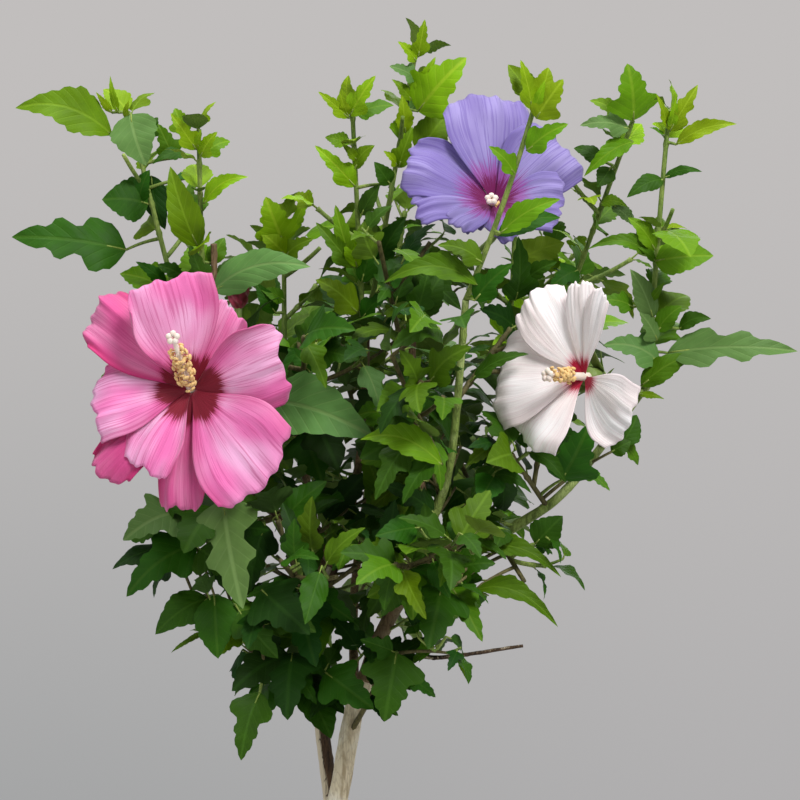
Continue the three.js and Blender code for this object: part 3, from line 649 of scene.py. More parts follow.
BARK_COLOURS = {
    "light": {"low": (188, 168, 134), "middle": (238, 224, 192), "high": (250, 242, 222), "fineness": 420},
    "dark": {"low": (44, 32, 22), "middle": (92, 70, 50), "high": (128, 104, 78), "fineness": 380,
             "painted_lit_side": (218, 204, 176)},
    "brown": {"low": (84, 64, 42), "middle": (132, 108, 78), "high": (140, 124, 92), "fineness": 420},
    "green": {"low": (86, 102, 42), "middle": (136, 156, 76), "high": (168, 184, 112), "fineness": 520},
}
bark_grain = bark_group()


def bark_material(name, look):
    material, tree, shader = new_material(name, 0.8, Specular_IOR_Level=0.3)
    out = group_node(tree, bark_grain, {"Low": rgb(*look["low"]), "Middle": rgb(*look["middle"]),
                                        "High": rgb(*look["high"]), "Fineness": float(look["fineness"])})
    color = out["Color"]
    # On the dark stem, the side that faces left is painted paler as painted light, and the rest stays dark as
    # painted shade. The edge of the pale side is broken up by the bark's height.
    if "painted_lit_side" in look:
        faces = node(tree, "ShaderNodeTexCoord").outputs["Normal"]
        west = times(tree, split(tree, faces)[0], -1.0)
        ragged = plus(tree, west, times(tree, out["Height"], 0.5))
        color = blend(tree, ramp(tree, ragged, 0.62, 0.95), color, rgb(*look["painted_lit_side"]))
    paint(tree, shader, color, out["Roughness"])
    relief(tree, shader, out["Height"], 0.0004, 0.7)
    return material


barks = {name: bark_material(name + "_bark", look) for name, look in BARK_COLOURS.items()}
for name, limb in LIMBS.items():
    bark = limb["bark"]
    finished(make_limb(name, limb), name + "_bark", barks[bark], name, slot="bark_" + bark)

# ---------------------------------------------------------------------------- blooms
# Each open flower has broad crinkled petals on narrow claws round a pale column, which bears many
# small anthers and a five-lobed stigma. A green calyx and a stalk carry it. Petals are veined, and
# crimson at the claw.

# The room that each bloom takes, which the leaves keep clear of. A petal is [turn round the flower
# as seen from the front, long, wide, opening from the column], in degrees and millimetres.
BLOOMS = {
    "bloom_pink": {"on": "bough_left", "at": 0.93, "middle": [-63, -88, 438], "faces": [-0.1, -0.97, 0.2],
                   "column": 32,
                   "petals": [[-52, 54, 30, 76], [-10, 52, 42, 70], [64, 47, 40, 74], [126, 58, 44, 74],
                              [180, 57, 30, 78], [224, 52, 32, 72], [266, 44, 30, 78]]},
    "bloom_violet": {"on": "bough_up", "at": 1, "middle": [70, -8, 519], "faces": [0.02, -0.82, 0.57],
                     "column": 20,
                     "petals": [[-4, 49, 40, 68], [58, 46, 38, 68], [112, 42, 32, 66], [196, 34, 26, 62],
                                [258, 42, 30, 70], [304, 45, 30, 66]]},
    "bloom_white": {"on": "bough_right_arch", "at": 0.8, "middle": [110, -48, 442],
                    "faces": [-0.62, -0.77, 0.14], "column": 26,
                    "petals": [[-44, 44, 30, 68], [4, 44, 17, 70], [128, 38, 32, 72], [-100, 43, 40, 72],
                               [-150, 40, 32, 70]]},
}
CALYX = {"long": 15, "stalk": 3}
COLUMN = {"thick": 4.4, "sunk": 3}
PETAL = {"thick": 1.6, "twist": 12, "curl": 0.14}
PETAL_OUTLINE = [[0.04, 0], [0.4, 0.38], [0.78, 0.5], [1, 0.16], [1, -0.16], [0.78, -0.5], [0.4, -0.38]]


def about(axis, vector, angle):
    """The vector turned about a unit axis."""
    c, s = math.cos(angle), math.sin(angle)
    return vector * c + np.cross(axis, vector) * s + axis * (axis @ vector) * (1 - c)


# The axes of each flower: the way it faces, and the right and the top as seen from its front.
for bloom in BLOOMS.values():
    bloom["middle"] = np.array(bloom["middle"], float)
    bloom["face"] = unit(np.array(bloom["faces"], float))
    bloom["right"] = unit(np.cross([0, 0, 1], bloom["face"]))
    bloom["up"] = np.cross(bloom["face"], bloom["right"])


def petal_axes(bloom, turn, opening):
    """The way a petal runs, the way across it and its normal."""
    face, right, up = bloom["face"], bloom["right"], bloom["up"]
    outward = up * math.cos(math.radians(turn)) + right * math.sin(math.radians(turn))
    along = face * math.cos(math.radians(opening)) + outward * math.sin(math.radians(opening))
    side = about(along, unit(np.cross(along, face)), math.radians(PETAL["twist"]))
    return along, side, unit(np.cross(side, along))


for name, bloom in BLOOMS.items():
    middle, face = bloom["middle"], bloom["face"]
    rear = middle - face * CALYX["long"]
    stalk = catmull([limbs[bloom["on"]]["curve"](bloom["at"]), rear - face * CALYX["long"], rear, middle])
    start, end = middle - face * COLUMN["sunk"], middle + face * bloom["column"]
    bloom["stalk"] = stalk
    take(*along_curve(name, stalk, lambda t: CALYX["stalk"] / 2 + 1, 8))
    take(*along_curve(name, lambda t: mix(start, end, t), lambda t: COLUMN["thick"], 2))
    for turn, long, wide, opening in bloom["petals"]:
        along, side, normal = petal_axes(bloom, turn, opening)
        outline = [middle + along * u * long + side * v * wide - normal * PETAL["curl"] * long * u * u
                   for u, v in [*PETAL_OUTLINE, [0.5, 0]]]
        take(convex(name, outline, PETAL["thick"] / 2))

# The rim colour darkens the side edges of each petal, and it also serves as painted shade on the petals that
# lie in shadow.
PETAL_LOOKS = {
    "bloom_pink": {"slot": "petals_pink", "body": (236, 118, 182), "pale": (250, 188, 228),
                   "rim": (196, 44, 112), "vein": (196, 62, 128), "eye": (122, 2, 34),
                   "glow": (190, 36, 104), "eye_size": 16, "feather": 2.6},
    "bloom_violet": {"slot": "petals_violet", "body": (128, 112, 174), "pale": (156, 143, 198),
                     "rim": (104, 88, 158), "vein": (98, 76, 156), "eye": (108, 0, 78),
                     "glow": (150, 16, 132), "eye_size": 13, "feather": 6},
    "bloom_white": {"slot": "petals_white", "body": (250, 238, 236), "pale": (255, 252, 252),
                    "rim": (240, 218, 218), "vein": (236, 214, 216), "eye": (170, 8, 50),
                    "glow": (222, 120, 148), "eye_size": 9, "feather": 2.5},
}
# The petals as they open, in the order in which they lie over each other, hindmost first. Each is
# [turn, long, wide, opening, layer, wave of its rim, how far that rolls back, how far its left and
# right edges fold up over its face, how far its tip leans to the right, how much painted shade
# darkens it], in degrees and millimetres.
PETALS = {
    "bloom_pink": [
        [186, 51, 23, 80, -1.6, 2.0, 3, 0, 0, 0, 1],
        [27, 39, 22, 76, -1.5, 2.2, 1, 3, 0, 0, 0.6],
        [228, 53, 24, 77, -0.9, 2.4, 2, 0, 5, 0, 1.2],
        [266, 42, 35, 74, 0, 2.4, 3, 0, 0, -3, 0],
        [-53, 55, 31, 78, -0.4, 2.4, 3, 0, 0, 4, 1],
        [214, 41, 30, 71, 1.0, 2.2, 2, 4, 0, -3, 0.15],
        [-17, 49, 46, 64, 1.6, 2.0, 2, 11, 0, 2, 0.15],
        [76, 43, 41, 68, 1.2, 2.6, 4, 8, 0, -2, 0.25],
        [139, 53, 49, 72, 1.4, 2.2, 3, 0, 5, 3, 0.1],
    ],
    "bloom_violet": [
        [232, 30, 26, 52, -0.8, 2.2, 2, 0, 0, 0, 0.6],
        [196, 22, 20, 56, -0.4, 2.0, 2, 0, 0, 0, 0.6],
        [150, 24, 22, 58, -0.8, 2.0, 2, 0, 0, 0, 0.5],
        [108, 34, 30, 56, 0, 2.4, 2, 0, 0, 0, 0.2],
        [56, 41, 38, 58, 0.6, 2.4, 3, 0, 0, 0, 0.2],
        [-66, 43, 34, 60, 0.2, 2.6, 4, 0, 4, 0, 0.5],
        [-101, 39, 27, 60, 0.9, 2.8, 4, 0, 4, 0, 0.5],
        [-2, 51, 43, 63, 1.4, 2.2, 3, 2, 0, 0, 0],
    ],
    "bloom_white": [
        [22, 41, 11, 62, -1, 0.6, 1, 0, 0, 0, 0],
        [4, 42, 14, 66, 0, 0.6, 1, 0, 0, -1, 0],
        [128, 36, 34, 70, 0.4, 1.4, 3, 0, 3, 0, 0],
        [-38, 44, 28, 66, 0.2, 1.0, 3, 0, 0, 3, 0.2],
        [-138, 39, 38, 68, 0.6, 1.2, 3, 0, 0, 0, 0.2],
        [-90, 43, 46, 70, 1.4, 1.2, 4, 0, 0, -2, 0.3],
    ],
}
PETAL_GRID = {"across": 44, "along": 30, "thick": 0.4}
PETAL_COLOURS = ["Body", "Pale", "Rim", "Vein", "Eye", "Glow"]


def petal_group():
    """The face of a petal: pale near its middle, darker veins that run out from the claw, and a
    crimson eye whose rim feathers out along them. Petals in shadow are darkened toward the rim colour as
    painted shade. It reads where on its petal a point lies."""
    group, given = new_group("petal face", PETAL_COLOURS, ["Eye Size", "Feather"], ["Height"])
    across, out, seed = split(group, attribute(group, "petal_place", "Vector"))

    def spread(wide, long):
        place = {0: times(group, across, wide), 1: times(group, out, long), 2: seed}
        return node(group, "ShaderNodeCombineXYZ", place).outputs[0]

    veins = noise_value(group, spread(13.0, 0.016), 2.2, 3.0, 0.6)
    cloud = noise_value(group, spread(1.6, 0.05), 0.8, 1.0)
    color = blend(group, ramp(group, cloud, 0.30, 0.70), given["Body"], given["Pale"])
    # How far a whole petal is darkened toward its rim colour: painted shade on petals that lie in shadow.
    deep = attribute(group, "petal_painted_shade")
    edge = times(group, ramp(group, math_node(group, "ABSOLUTE", across), 0.55, 1.05), 0.45)
    rim = math_node(group, "MINIMUM", plus(group, edge, times(group, deep, 0.6)), 1.0)
    color = blend(group, rim, color, given["Rim"])
    line = ramp(group, veins, 0.50, 0.62)
    color = blend(group, times(group, line, 0.5), color, given["Vein"])
    ragged = times(group, minus(group, veins, 0.5), times(group, given["Feather"], 5.0))
    reach = plus(group, given["Eye Size"], ragged)
    patch = times(group, math_node(group, "POWER", math_node(group, "ABSOLUTE", across), 2.0), 0.35)
    reach = times(group, reach, minus(group, 1.0, patch))
    inside = minus(group, reach, out)
    glow = ramp(group, plus(group, inside, given["Feather"]), -1.5, 3.0)
    color = blend(group, times(group, glow, 0.6), color, given["Glow"])
    color = blend(group, ramp(group, inside, -0.8, 1.0), color, given["Eye"])
    own = node(group, "ShaderNodeTexWhiteNoise", {"W": seed}, noise_dimensions="1D").outputs["Value"]
    shade = plus(group, times(group, own, 0.2), 0.85)
    color = node(group, "ShaderNodeHueSaturation", {"Color": color, "Value": shade}).outputs[0]
    node(group, "NodeGroupOutput", {"Color": color, "Height": veins})
    return group


petal_face = petal_group()


def petal_material(name, look):
    material, tree, shader = new_material(name + "_petal", 0.62, Specular_IOR_Level=0.25, Sheen_Weight=0.15)
    inputs = {key: rgb(*look[key.lower()]) for key in PETAL_COLOURS}
    out = group_node(tree, petal_face, {**inputs, "Eye Size": float(look["eye_size"]),
                                        "Feather": float(look["feather"])})
    paint(tree, shader, out["Color"])
    relief(tree, shader, out["Height"], 0.0004, 0.5)
    return material


def mark(obj, name, values):
    """Gives each point of a mesh a number, or a vector, that its material reads."""
    kind, field = ("FLOAT_VECTOR", "vector") if values.ndim == 2 else ("FLOAT", "value")
    obj.data.attributes.new(name, kind, "POINT").data.foreach_set(field, values.ravel())


def make_petal(bloom, petal, seed):
    """A petal: a fan on a narrow claw, pleated, crumpled and nicked at its rim, and curled back."""
    turn, long, wide, opening, layer, wave, roll, fold_left, fold_right, skew, deep = petal
    along, side, normal = petal_axes(bloom, turn, opening)
    obj = add(bpy.ops.mesh.primitive_grid_add, x_subdivisions=PETAL_GRID["across"],
              y_subdivisions=PETAL_GRID["along"], size=1)
    grid = corners_of(obj)
    a, u = grid[:, 0] * 2, grid[:, 1] + 0.5
    rand = np.random.default_rng(seed)
    phase = rand.uniform(0, 6.28, 6)
    half = 0.07 + 0.93 * np.sin(np.clip(u / 0.84, 0, 1) * math.pi / 2) ** 1.35
    reach = 1 - 0.13 * np.abs(a) ** 3 - 0.05 * a * math.sin(phase[4])
    nicks = 0.020 * np.sin(a * 5 + phase[0]) + 0.013 * np.sin(a * 12 + phase[1])
    nicks += 0.008 * np.sin(a * 23 + phase[2])
    reach += nicks * np.clip((u - 0.5) * 2, 0, 1)
    x = a * wide / 2 * half + skew * u ** 2
    y = 1.5 + (long - 1.5) * u * reach
    z = -0.14 * long * u ** 2 + layer * np.clip(u * 2, 0, 1)
    crumple = np.sin(a * 4.4 + phase[3]) * (0.7 + 0.4 * np.sin(u * 8 + phase[2]))
    crumple += 0.3 * np.sin(a * 9.5 + phase[1] + u * 3)
    z += wave * u ** 2.2 * crumple + wave * 0.25 * u ** 5 * np.sin(a * 19 + phase[5])
    z += 0.04 * wave * np.clip(u * 1.6, 0, 1) * np.sin(a * 30 + phase[0])
    z -= roll * np.clip((u - 0.78) / 0.22, 0, 1) ** 2
    for amount, way in ((fold_left, -1), (fold_right, 1)):
        lift = np.clip((a * way - 0.5) / 0.5, 0, 1)
        z += amount * lift ** 1.6 * u
        x -= way * amount * 0.6 * lift ** 2 * u
    points = bloom["middle"] + along * y[:, None] + side * x[:, None] + normal * z[:, None]
    obj.data.vertices.foreach_set("co", (points * MM).ravel())
    mark(obj, "petal_place", np.stack([a, y, np.full(len(a), seed * 3.7)], axis=1))
    # Each petal's share of painted shade.
    mark(obj, "petal_painted_shade", np.full(len(a), deep))
    skin = obj.modifiers.new("skin", "SOLIDIFY")
    skin.thickness = PETAL_GRID["thick"] * MM
    skin.offset = 0
    bpy.ops.object.modifier_apply(modifier=skin.name)
    bpy.ops.object.shade_smooth()
    return obj


def join(objects):
    pick(objects[0])
    for obj in objects:
        obj.select_set(True)
    bpy.ops.object.join()
    return bpy.context.object


def tube(curve, radius, sides, steps, start=0.0, end=1.0):
    """Points and quads of a closed tube round a curve. The number of sides is even."""
    spots, across, beside = sweep(curve, start, end, steps)
    turns = np.arange(sides) * 2 * math.pi / sides
    radii = np.array([radius(mix(start, end, i / steps)) for i in range(steps + 1)])
    ring = across[:, None] * np.cos(turns)[None, :, None] + beside[:, None] * np.sin(turns)[None, :, None]
    points = (spots[:, None] + ring * radii[:, None, None]).reshape(-1, 3)
    faces = list(ring_faces(steps + 1, sides))
    last = steps * sides
    for i in range(1, sides - 2, 2):
        faces.append([0, i + 2, i + 1, i])
        faces.append([last, last + i, last + i + 1, last + i + 2])
    return points, np.array(faces)


def assemble(name, parts):
    """One object from many sets of points, in millimetres, and faces."""
    points, faces = gather(parts)
    return mesh_object(name, points * MM, faces)


def straight(start, end):
    return lambda t: start + (end - start) * t


def make_calyx(name, bloom):
    """The stalk, the cup of the calyx with its five lobes, and the narrow bracts below it."""
    face, right, up, middle = (bloom[key] for key in ("face", "right", "up", "middle"))
    parts = [tube(bloom["stalk"], lambda t: CALYX["stalk"] / 2 + 0.12 * math.sin(t * 40), 8, 30, 0.02, 0.86)]
    foot, head = middle - face * CALYX["long"], middle - face * 2.5
    cup = [2.0, 3.4, 4.4, 4.9, 4.8, 4.6]
    parts.append(tube(straight(foot, head), lambda t: float(np.interp(t, np.linspace(0, 1, 6), cup)), 10, 8))
    for count, wide, long, root, spread in ((5, 3.2, 13, 0.45, 0.62), (7, 0.8, 12, 0.05, 0.9)):
        for i in range(count):
            turn = 2 * math.pi * i / count + 0.3
            out = up * math.cos(turn) + right * math.sin(turn)
            start = foot + (head - foot) * root + out * (2.2 if root < 0.2 else 4.6)
            way = unit(face + out * spread)
            side = unit(np.cross(way, out))
            rows = np.array([(u, v) for u in np.linspace(0, 1, 7) for v in (-1, 0, 1)])
            taper = wide * (1 - rows[:, 0] ** 2.2) + 0.1
            lift = rows[:, 0] ** 2 * long * 0.22 - np.abs(rows[:, 1]) * 0.5
            blade = start + np.outer(rows[:, 0] * long, way) + np.outer(rows[:, 1] * taper, side)
            blade = blade + np.outer(lift, out)
            inner = blade - out * 0.35
            top = [[k, k + 1, k + 4, k + 3] for k in (r * 3 + c for r in range(6) for c in range(2))]
            under = [[p + 21 for p in reversed(quad)] for quad in top]
            rim = [0, 1, 2, 5, 8, 11, 14, 17, 20, 19, 18, 15, 12, 9, 6, 3]
            sides = [[rim[k], rim[k - 1], rim[k - 1] + 21, rim[k] + 21] for k in range(16)]
            parts.append((np.vstack([blade, inner]), np.array(top + under + sides)))
    obj = assemble(name + "_calyx", parts)
    pick(obj)
    bpy.ops.object.mode_set(mode="EDIT")
    edit_done()
    return obj


def lump(centre, sizes, axes):
    """A small rounded lump of 24 quads: a cube's faces, split and pushed out."""
    corners, faces = ROUND
    return centre + (corners * sizes) @ axes, faces


def round_block():
    block = add(bpy.ops.mesh.primitive_cube_add, size=2)
    edit_all()
    bpy.ops.mesh.subdivide(number_cuts=1)
    bpy.ops.transform.tosphere(value=1)
    bpy.ops.object.mode_set(mode="OBJECT")
    corners, faces = take_apart(block)
    return corners / np.linalg.norm(corners, axis=1)[:, None], faces


ROUND = round_block()


def make_column(name, bloom, seed):
    """The column with its anthers on short threads, and the five lobes of the stigma."""
    face, right, up, middle = (bloom[key] for key in ("face", "right", "up", "middle"))
    rand = np.random.default_rng(seed)
    grown = COLUMNS[name]
    long, count = grown["long"], grown["anthers"]
    way = unit(np.array(grown["way"], float))
    bend = middle + unit(face + way) * long * 0.45
    curve = bezier(middle - face * COLUMN["sunk"], bend, middle + way * long)
    core = [tube(curve, lambda t: mix(2.2, 1.0, t), 8, 14)]
    threads, anthers, stigma = [], [], []
    for i in range(count):
        t = mix(*grown["along"], i / (count - 1))
        turn = math.radians(GOLDEN * i) + rand.uniform(-0.3, 0.3)
        way = unit(up * math.cos(turn) + right * math.sin(turn) + face * rand.uniform(-0.1, 0.5))
        start, end = curve(t), curve(t) + way * rand.uniform(*grown["reach"])
        threads.append(tube(straight(start, end), lambda t: 0.16, 4, 1))
        axes = np.array([way, unit(np.cross(way, face)), unit(np.cross(way, np.cross(way, face)))])
        anthers.append(lump(end, np.array([0.75, 1.35, 0.9]) * rand.uniform(0.85, 1.2), axes))
    for i in range(5):
        turn = 2 * math.pi * i / 5
        way = unit(up * math.cos(turn) + right * math.sin(turn) + face * 1.3)
        end = curve(1) + way * 3.0
        stigma.append(tube(straight(curve(0.98), end), lambda t: 0.4, 4, 2))
        stigma.append(lump(end, np.array([1.5, 1.5, 1.2]), np.array([right, up, face])))
    return assemble(name + "_column", core + threads + stigma), assemble(name + "_anthers", anthers)


calyx_green, tree, shader = new_material("calyx_skin", 0.6)
down = noise_value(tree, object_place(tree), 320.0, 4.0)
paint(tree, shader, blend(tree, down, rgb(92, 118, 44), rgb(140, 160, 84)))
relief(tree, shader, down, 0.0003, 0.4)

column_cream, tree, shader = new_material("column_skin", 0.55, Subsurface_Weight=0.1)
blush = noise_value(tree, object_place(tree), 260.0, 3.0)
paint(tree, shader, blend(tree, blush, rgb(246, 236, 216), rgb(236, 206, 196)))

pollen, tree, shader = new_material("pollen_sacs", 0.85)
dust = noise_value(tree, object_place(tree), 1900.0, 3.0)
paint(tree, shader, blend(tree, dust, rgb(214, 160, 84), rgb(246, 220, 160)))
relief(tree, shader, dust, 0.0003, 0.8)

# How each column grows: its length and way, and its anthers, how many, from where to where along
# it, and how far off it they stand.
COLUMNS = {
    "bloom_pink": {"long": 30, "way": [-0.22, -0.62, 0.78], "anthers": 84, "along": [0.2, 0.84],
                   "reach": [2.2, 4.8]},
    "bloom_violet": {"long": 9, "way": [-0.1, -0.95, 0.1], "anthers": 16, "along": [0.1, 0.4],
                     "reach": [2, 3]},
    "bloom_white": {"long": 20, "way": [-0.78, -0.6, 0.05], "anthers": 48, "along": [0.45, 0.95],
                    "reach": [1.8, 3.6]},
}
for number, (name, bloom) in enumerate(BLOOMS.items()):
    look = PETAL_LOOKS[name]
    petals = [make_petal(bloom, petal, 11 * number + i) for i, petal in enumerate(PETALS[name])]
    finished(join(petals), name + "_petals", petal_material(name, look), name, slot=look["slot"])
    finished(make_calyx(name, bloom), name + "_calyx", calyx_green)
    column, anthers = make_column(name, bloom, 40 + number)
    finished(column, name + "_column", column_cream)
    finished(anthers, name + "_anthers", pollen)

# ---------------------------------------------------------------------------- crimson bud
# A withered flower, rolled up shut in a crimson twist, on a short green stalk of the left bough.
BUD = {"on": "bough_left", "at": 0.66, "middle": [-45, -36, 474], "long": 15, "wide": 9, "stalk": 2.4}
bud_middle = np.array(BUD["middle"], float)
foot = limbs[BUD["on"]]["curve"](BUD["at"])
bud_stalk = bezier(foot, np.array([*bud_middle[:2], foot[2]]), bud_middle)
take(*along_curve("bud_crimson", bud_stalk, lambda t: BUD["stalk"] / 2, 6))
take(convex("bud_crimson", [bud_middle, bud_middle + (0, 0, BUD["long"] * 0.7)], BUD["wide"] / 2))


def make_bud():
    long, wide = BUD["long"], BUD["wide"]
    obj = add(bpy.ops.mesh.primitive_uv_sphere_add, segments=40, ring_count=24, radius=1)
    for vertex in obj.data.vertices:
        x, y, z = vertex.co
        turn = math.atan2(y, x) + z * 1.6
        r = wide / 2 * (1 + 0.12 * math.sin(turn * 5) + 0.05 * math.sin(turn * 11 + z * 4))
        point = Vector((x * r, y * r, z * long / 2 + 1.2 * math.sin(x * 2) * (z > 0)))
        vertex.co = (point + Vector(bud_middle) + Vector((0, 0, long / 3))) * MM
    bpy.ops.object.shade_smooth()
    return obj


material, tree, shader = new_material("bud_petal", 0.5, Sheen_Weight=0.2)
place = node(tree, "ShaderNodeMapping", {"Vector": object_place(tree), "Scale": (1, 1, 0.2)}).outputs[0]
streak = ramp(tree, noise_value(tree, place, 420.0, 4.0), 0.35, 0.7)
paint(tree, shader, blend(tree, streak, rgb(112, 8, 30), rgb(190, 52, 86)))
finished(make_bud(), "bud_crimson_petals", material, "bud_crimson", slot="petals_bud")
stalk = tube(bud_stalk, lambda t: BUD["stalk"] / 2 + 0.8 * max(0, t - 0.9) * 10, 8, 24)
finished(assemble("bud_stalk", [stalk]), "bud_stalk", calyx_green)

# ---------------------------------------------------------------------------- growth of the leafy shoots
# Slim young shoots stand up from the boughs, and denser masses of older leaves hang lower and
# behind. This is the plan of their leaves and twigs, which the next two sections make.

# Each shoot is [its limb, where on it, its tip, how far the stem runs level before it bends up, its
# side twigs, their reach, how far apart its leaves are, how long at its foot and tip, how much they
# hang]. Leaves leave a stem by the golden angle, and keep to the room that their neighbours leave.
SHOOTS = {
    "shoot_left_outer": ["bough_left", 1, [-97, 10, 561], 0.55, 2, 24, 14.5, [36, 19], 0.1],
    "shoot_left_inner": ["bough_left", 0.86, [-62, -45, 552], 0.8, 1, 20, 14.5, [34, 18], 0.1],
    "shoot_pale": ["bough_left_up", 1, [-27, 40, 510], 0.5, 2, 22, 14.5, [38, 22], 0.1],
    "shoot_tall_left": ["bough_mid", 0.8, [6, -12, 560], 0.5, 1, 26, 14.5, [40, 22], 0.1],
    "shoot_tall_mid": ["bough_mid", 1, [35, 20, 590], 0.5, 2, 24, 14.5, [36, 19], 0.05],
    "shoot_front": ["bough_centre", 1, [87, -76, 564], 0.6, 0, 20, 14.5, [32, 17], 0.1],
    "shoot_between": ["bough_back_right", 0.72, [82, 55, 505], 0.5, 2, 24, 14.5, [40, 26], 0.2],
    "shoot_right_inner": ["bough_back_right", 1, [136, 26, 558], 0.5, 2, 26, 14.5, [38, 21], 0.1],
    "shoot_right_outer": ["bough_right_arch", 1, [150, -12, 562], 0.4, 1, 22, 14.5, [36, 19], 0.1],
    "leaves_left_low": ["bough_left", 0.4, [-74, -32, 362], 0.6, 2, 26, 14, [46, 36], 0.7],
    "leaves_low_left": ["stem_dark", 0.62, [-34, -38, 308], 0.6, 2, 20, 13, [42, 34], 0.7],
    "leaves_low_centre": ["stem_light", 0.68, [26, -50, 318], 0.5, 2, 18, 13, [32, 28], 0.5],
    "leaves_low_right": ["bough_right_arch", 0.2, [84, -28, 348], 0.5, 1, 20, 13, [32, 24], 0.5],
    "leaves_mid_right": ["bough_right_arch", 0.5, [78, -32, 406], 0.5, 2, 24, 13, [34, 28], 0.4],
    "leaves_centre_left": ["bough_left_up", 0.6, [-15, -55, 460], 0.5, 4, 34, 14, [46, 36], 0.5],
    "leaves_centre": ["bough_centre", 0.55, [24, -64, 452], 0.5, 3, 32, 14, [46, 34], 0.5],
    "leaves_centre_right": ["bough_centre", 0.8, [78, -6, 462], 0.5, 2, 26, 14, [42, 32], 0.4],
    "leaves_centre_low": ["bough_right_low", 0.85, [26, -92, 362], 0.5, 4, 34, 13, [40, 32], 0.6],
    "leaves_inner_left": ["stem_dark", 0.75, [-25, -72, 362], 0.5, 3, 32, 13, [42, 34], 0.6],
    "leaves_centre_upper": ["bough_up", 0.7, [18, -28, 502], 0.5, 2, 26, 13, [42, 30], 0.3],
    "leaves_back_left": ["bough_left", 0.55, [-62, 84, 408], 0.6, 4, 34, 16, [48, 38], 0.5],
    "leaves_back_centre": ["bough_back", 1, [-4, 118, 460], 0.6, 3, 32, 16, [46, 34], 0.4],
    "leaves_back_right": ["bough_back_right", 0.45, [44, 116, 430], 0.6, 3, 32, 16, [46, 36], 0.5],
    "leaves_back_low": ["bough_back", 0.45, [-16, 92, 332], 0.6, 3, 30, 16, [48, 38], 0.6],
    "shoot_back_left": ["bough_left_up", 0.82, [-40, 86, 488], 0.7, 2, 26, 15, [40, 24], 0.2],
    "shoot_back_mid": ["bough_back", 0.86, [30, 84, 516], 0.4, 3, 26, 15, [40, 22], 0.2],
    "shoot_back_right": ["bough_back_right", 0.9, [98, 112, 500], 0.7, 3, 26, 15, [40, 24], 0.2],
}
SHOOT_FACTS = ["on", "at", "tip", "sweep", "twigs", "reach", "spacing", "leaf", "hang"]
SHOOTS = {name: dict(zip(SHOOT_FACTS, row)) for name, row in SHOOTS.items()}
CLEAR = {"others": 0.7, "own": 0.3}
LEAF = {"thick": 0.032, "widest": 0.5, "wide": [0.6, 0.78], "arch": 0.1, "fold": 0.05, "outward": 0.6,
        "front": 0.2, "roll": 30, "lean": [1.1, 2.2], "tip_lean": 0.5, "vary": [0.85, 1.15],
        "small": 0.7}
TWIG = {"stem": [1.35, 1.1], "side": [1.2, 1], "step": 26, "from": 0.25, "to": 0.8, "vary": [0.8, 1.15],
        "lift": 0.15, "forward": 0.6, "tries": 12, "shortest": 4}
CROWN = np.array([25.0, 0, 0])


def stream(seed):
    """A repeatable stream of numbers from 0 to 1."""
    mask, state = 0xffffffff, seed & 0xffffffff
    while True:
        state = (state + 0x6d2b79f5) & mask
        word = ((state ^ (state >> 15)) * (state | 1)) & mask
        word ^= (word + (((word ^ (word >> 7)) * (word | 61)) & mask)) & mask
        yield (word ^ (word >> 14)) / 4294967296


def apart(shape, others, air):
    """Whether some direction shows air between a convex shape and each of the others."""
    if not len(others):
        return True
    pads = np.array([np.pad(taken["points"][i], ((0, 12 - len(taken["points"][i])), (0, 0)), mode="edge")
                     for i in others])
    need = air + shape["skin"] + np.array([taken["skin"][i] for i in others])
    way = shape["centre"] - taken["centre"][others]
    for _ in range(24):
        size = np.linalg.norm(way, axis=1)
        if (size < 1e-6).any():
            return False
        own = shape["points"][np.argmin(way @ shape["points"].T, axis=1)]
        dots = np.einsum("kpj,kj->kp", pads, way)
        near = own - pads[np.arange(len(pads)), np.argmax(dots, axis=1)]
        open_ = np.einsum("kj,kj->k", near, way) / size <= need
        if not open_.any():
            return True
        pads, need, way, near = pads[open_], need[open_], way[open_], near[open_]
        turn = way - near
        share = np.einsum("kj,kj->k", way, turn) / np.maximum(np.einsum("kj,kj->k", turn, turn), 1e-9)
        way = way - turn * np.clip(share, 0, 1)[:, None]
    return False


def neighbours(shape, air):
    count = len(taken["owner"])
    gaps = np.linalg.norm(taken["centre"][:count] - shape["centre"], axis=1)
    return np.nonzero(gaps <= taken["reach"][:count] + shape["reach"] + air)[0]


def fits(free, whole, own_air=CLEAR["own"], air=CLEAR["others"]):
    """Whether a piece is clear: its free part of its own shoot, and the whole of all others."""
    own = [i for i in neighbours(free, own_air) if taken["owner"][i] == free["owner"]]
    if not apart(free, own, own_air):
        return False
    return all(apart(part, [i for i in neighbours(part, air) if taken["owner"][i] != part["owner"]], air)
               for part in whole)


stem_of = {}
for name, shoot in SHOOTS.items():
    foot, tip = limbs[shoot["on"]]["curve"](shoot["at"]), np.array(shoot["tip"], float)
    bend = mix(foot, tip, shoot["sweep"])
    bend[2] = (foot[2] + tip[2]) / 2
    curve = bezier(foot, bend, tip)
    length = curve_length(curve)
    steps = math.ceil(length / TWIG["step"])
    stem_of[name] = {"curve": curve, "length": length, "foot": 0.12, "ends": (foot, tip),
                     "spots": np.array([curve(i / 6) for i in range(7)]), "radius": TWIG["stem"]}
    take(*along_curve(name, curve, lambda t: mix(*TWIG["stem"], t), steps))

all_spots = np.array([stem["spots"] for stem in stem_of.values()])
stem_names = list(stem_of)


def in_own_space(name, point):
    """The space of a shoot is every place that lies nearer to its stem than to another's."""
    gaps = np.linalg.norm(all_spots - point, axis=2).min(axis=1)
    i = stem_names.index(name)
    return bool((np.delete(gaps, i) > gaps[i]).all())


